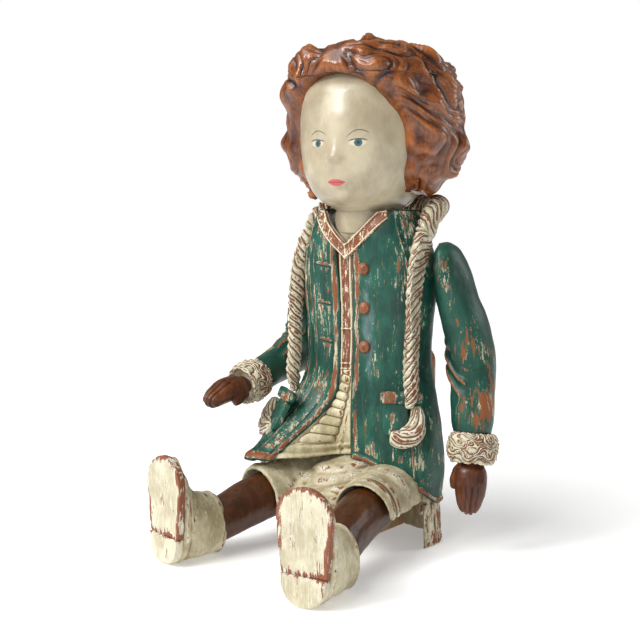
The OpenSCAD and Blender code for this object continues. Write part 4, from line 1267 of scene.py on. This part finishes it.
shoe_paint = aged_paint("shoe_upper_paint", (0.34, 0.28, 0.16), (0.62, 0.56, 0.38), (0.8, 0.76, 0.6),
                        rubbed_wood, wear=-0.02, groove=0.8, stretch=(1, 1, 3), gloss=0.4)
sole_paint = aged_paint("sole_scraped_paint", (0.45, 0.4, 0.27), (0.74, 0.69, 0.52), (0.84, 0.8, 0.66),
                        (0.3, 0.1, 0.045), wear=0.03, groove=0.9, stretch=(0.8, 1, 7), gloss=0.45)
shoe_table = [[8.3, 27, 1.5, 113], [12, 29, 0.5, 114], [17, 28.5, 0.5, 105], [23, 27, 0.5, 88],
              [31, 26.5, 1, 75], [42, 27, 1, 70], [54, 27.5, 1.5, 67.5], [62, 27, 2.5, 65.5]]


def shoe_frame(side):
    return (Matrix.Diagonal((side, 1, 1, 1)) @ Matrix.Translation((97, -240, 0))
            @ Matrix.Rotation(radians(9), 4, "Z"))


def shoe_place(side):
    def place(u, v):
        y = lerp(8.3, 62, np.clip((v - 0.04) / 0.92, 0, 1))
        close = np.sqrt(np.clip(np.minimum(v, 1 - v) / 0.04, 0, 1))
        wide, low, high = (at(shoe_table, y, k, 3) for k in (1, 2, 3))
        a = -u * 2 * np.pi * side
        c, s = np.cos(a), np.sin(a)
        x = wide * (1 + 0.1 * s) * np.sign(c) * np.abs(c) ** 0.8
        z = (low + high) / 2 - (high - low) / 2 * np.sign(s) * np.abs(s) ** 0.9
        middle = (low + high) / 2
        return moved(np.stack([x * close, y, lerp(middle, z, close)], -1), shoe_frame(side))
    return place


def shoe_relief(side):
    def relief(u, v, p):
        local = moved(p, shoe_frame(side).inverted())
        x, y, z = local.T
        cut = tooled(p, 131) + 0.5 * drift(p, 22, 132)
        cut += 1.3 * line(y - 12, 2) - 1.1 * line(y - 17, 1.6)
        tongue = smooth((z - 62) / 6)
        for strap in (28, 37, 46):
            cut += 0.9 * tongue * line(y - strap, 2.4)
        cut += 1.4 * line(y - 58, 2.4)
        return cut * smooth((62.5 - y) / 5)
    return relief


for side, word in ((1, "left"), (-1, "right")):
    upper = carve(f"shoe_upper_{word}", 150, 110, shoe_place(side), shoe_relief(side))
    in_place(upper, shoe_paint, f"{word}_leg", "shoe_paint", f"shoe_{word}")
    for part, base in (("sole", 0), ("heel", -2)):
        piece = carved_copy(f"{part}_block_{word}", f"{part}_{word}", 0.9, 5)
        p = points_of(piece.data)
        local = moved(p, shoe_frame(side).inverted())
        face = smooth((base + 2.5 - local[:, 1]) / 1.5)
        scratch = np.sin(local[:, 0] * 2.4 + 0.05 * local[:, 2] + 2 * drift(p, 40, 141))
        scrape = 0.3 * scratch * (0.5 + 0.5 * drift(p, 20, 144)) + 0.5 * drift(p, 26, 145)
        relief = tooled(p, 143) + face * scrape
        cut_relief(piece.data, relief)
        x, z = local[:, 0], local[:, 2]
        toe, heel_end = 31 - np.hypot(x, z - 85), 25 - np.hypot(x, z - 25)
        rim = np.where(z > 85, toe, np.where(z < 25, heel_end, 25 + (z - 25) * 0.1 - np.abs(x)))
        rub(piece, 0.75 * line(rim, 4) * smooth((z - 20) / 40) + 0.8 * line(z - 33, 3.5)
            + 0.3 * line(z - 70, 20) * face * (0.5 + 0.6 * drift(p, 30, 146)))
        in_place(piece, sole_paint, f"{word}_leg", "shoe_paint", f"{part}_{word}")
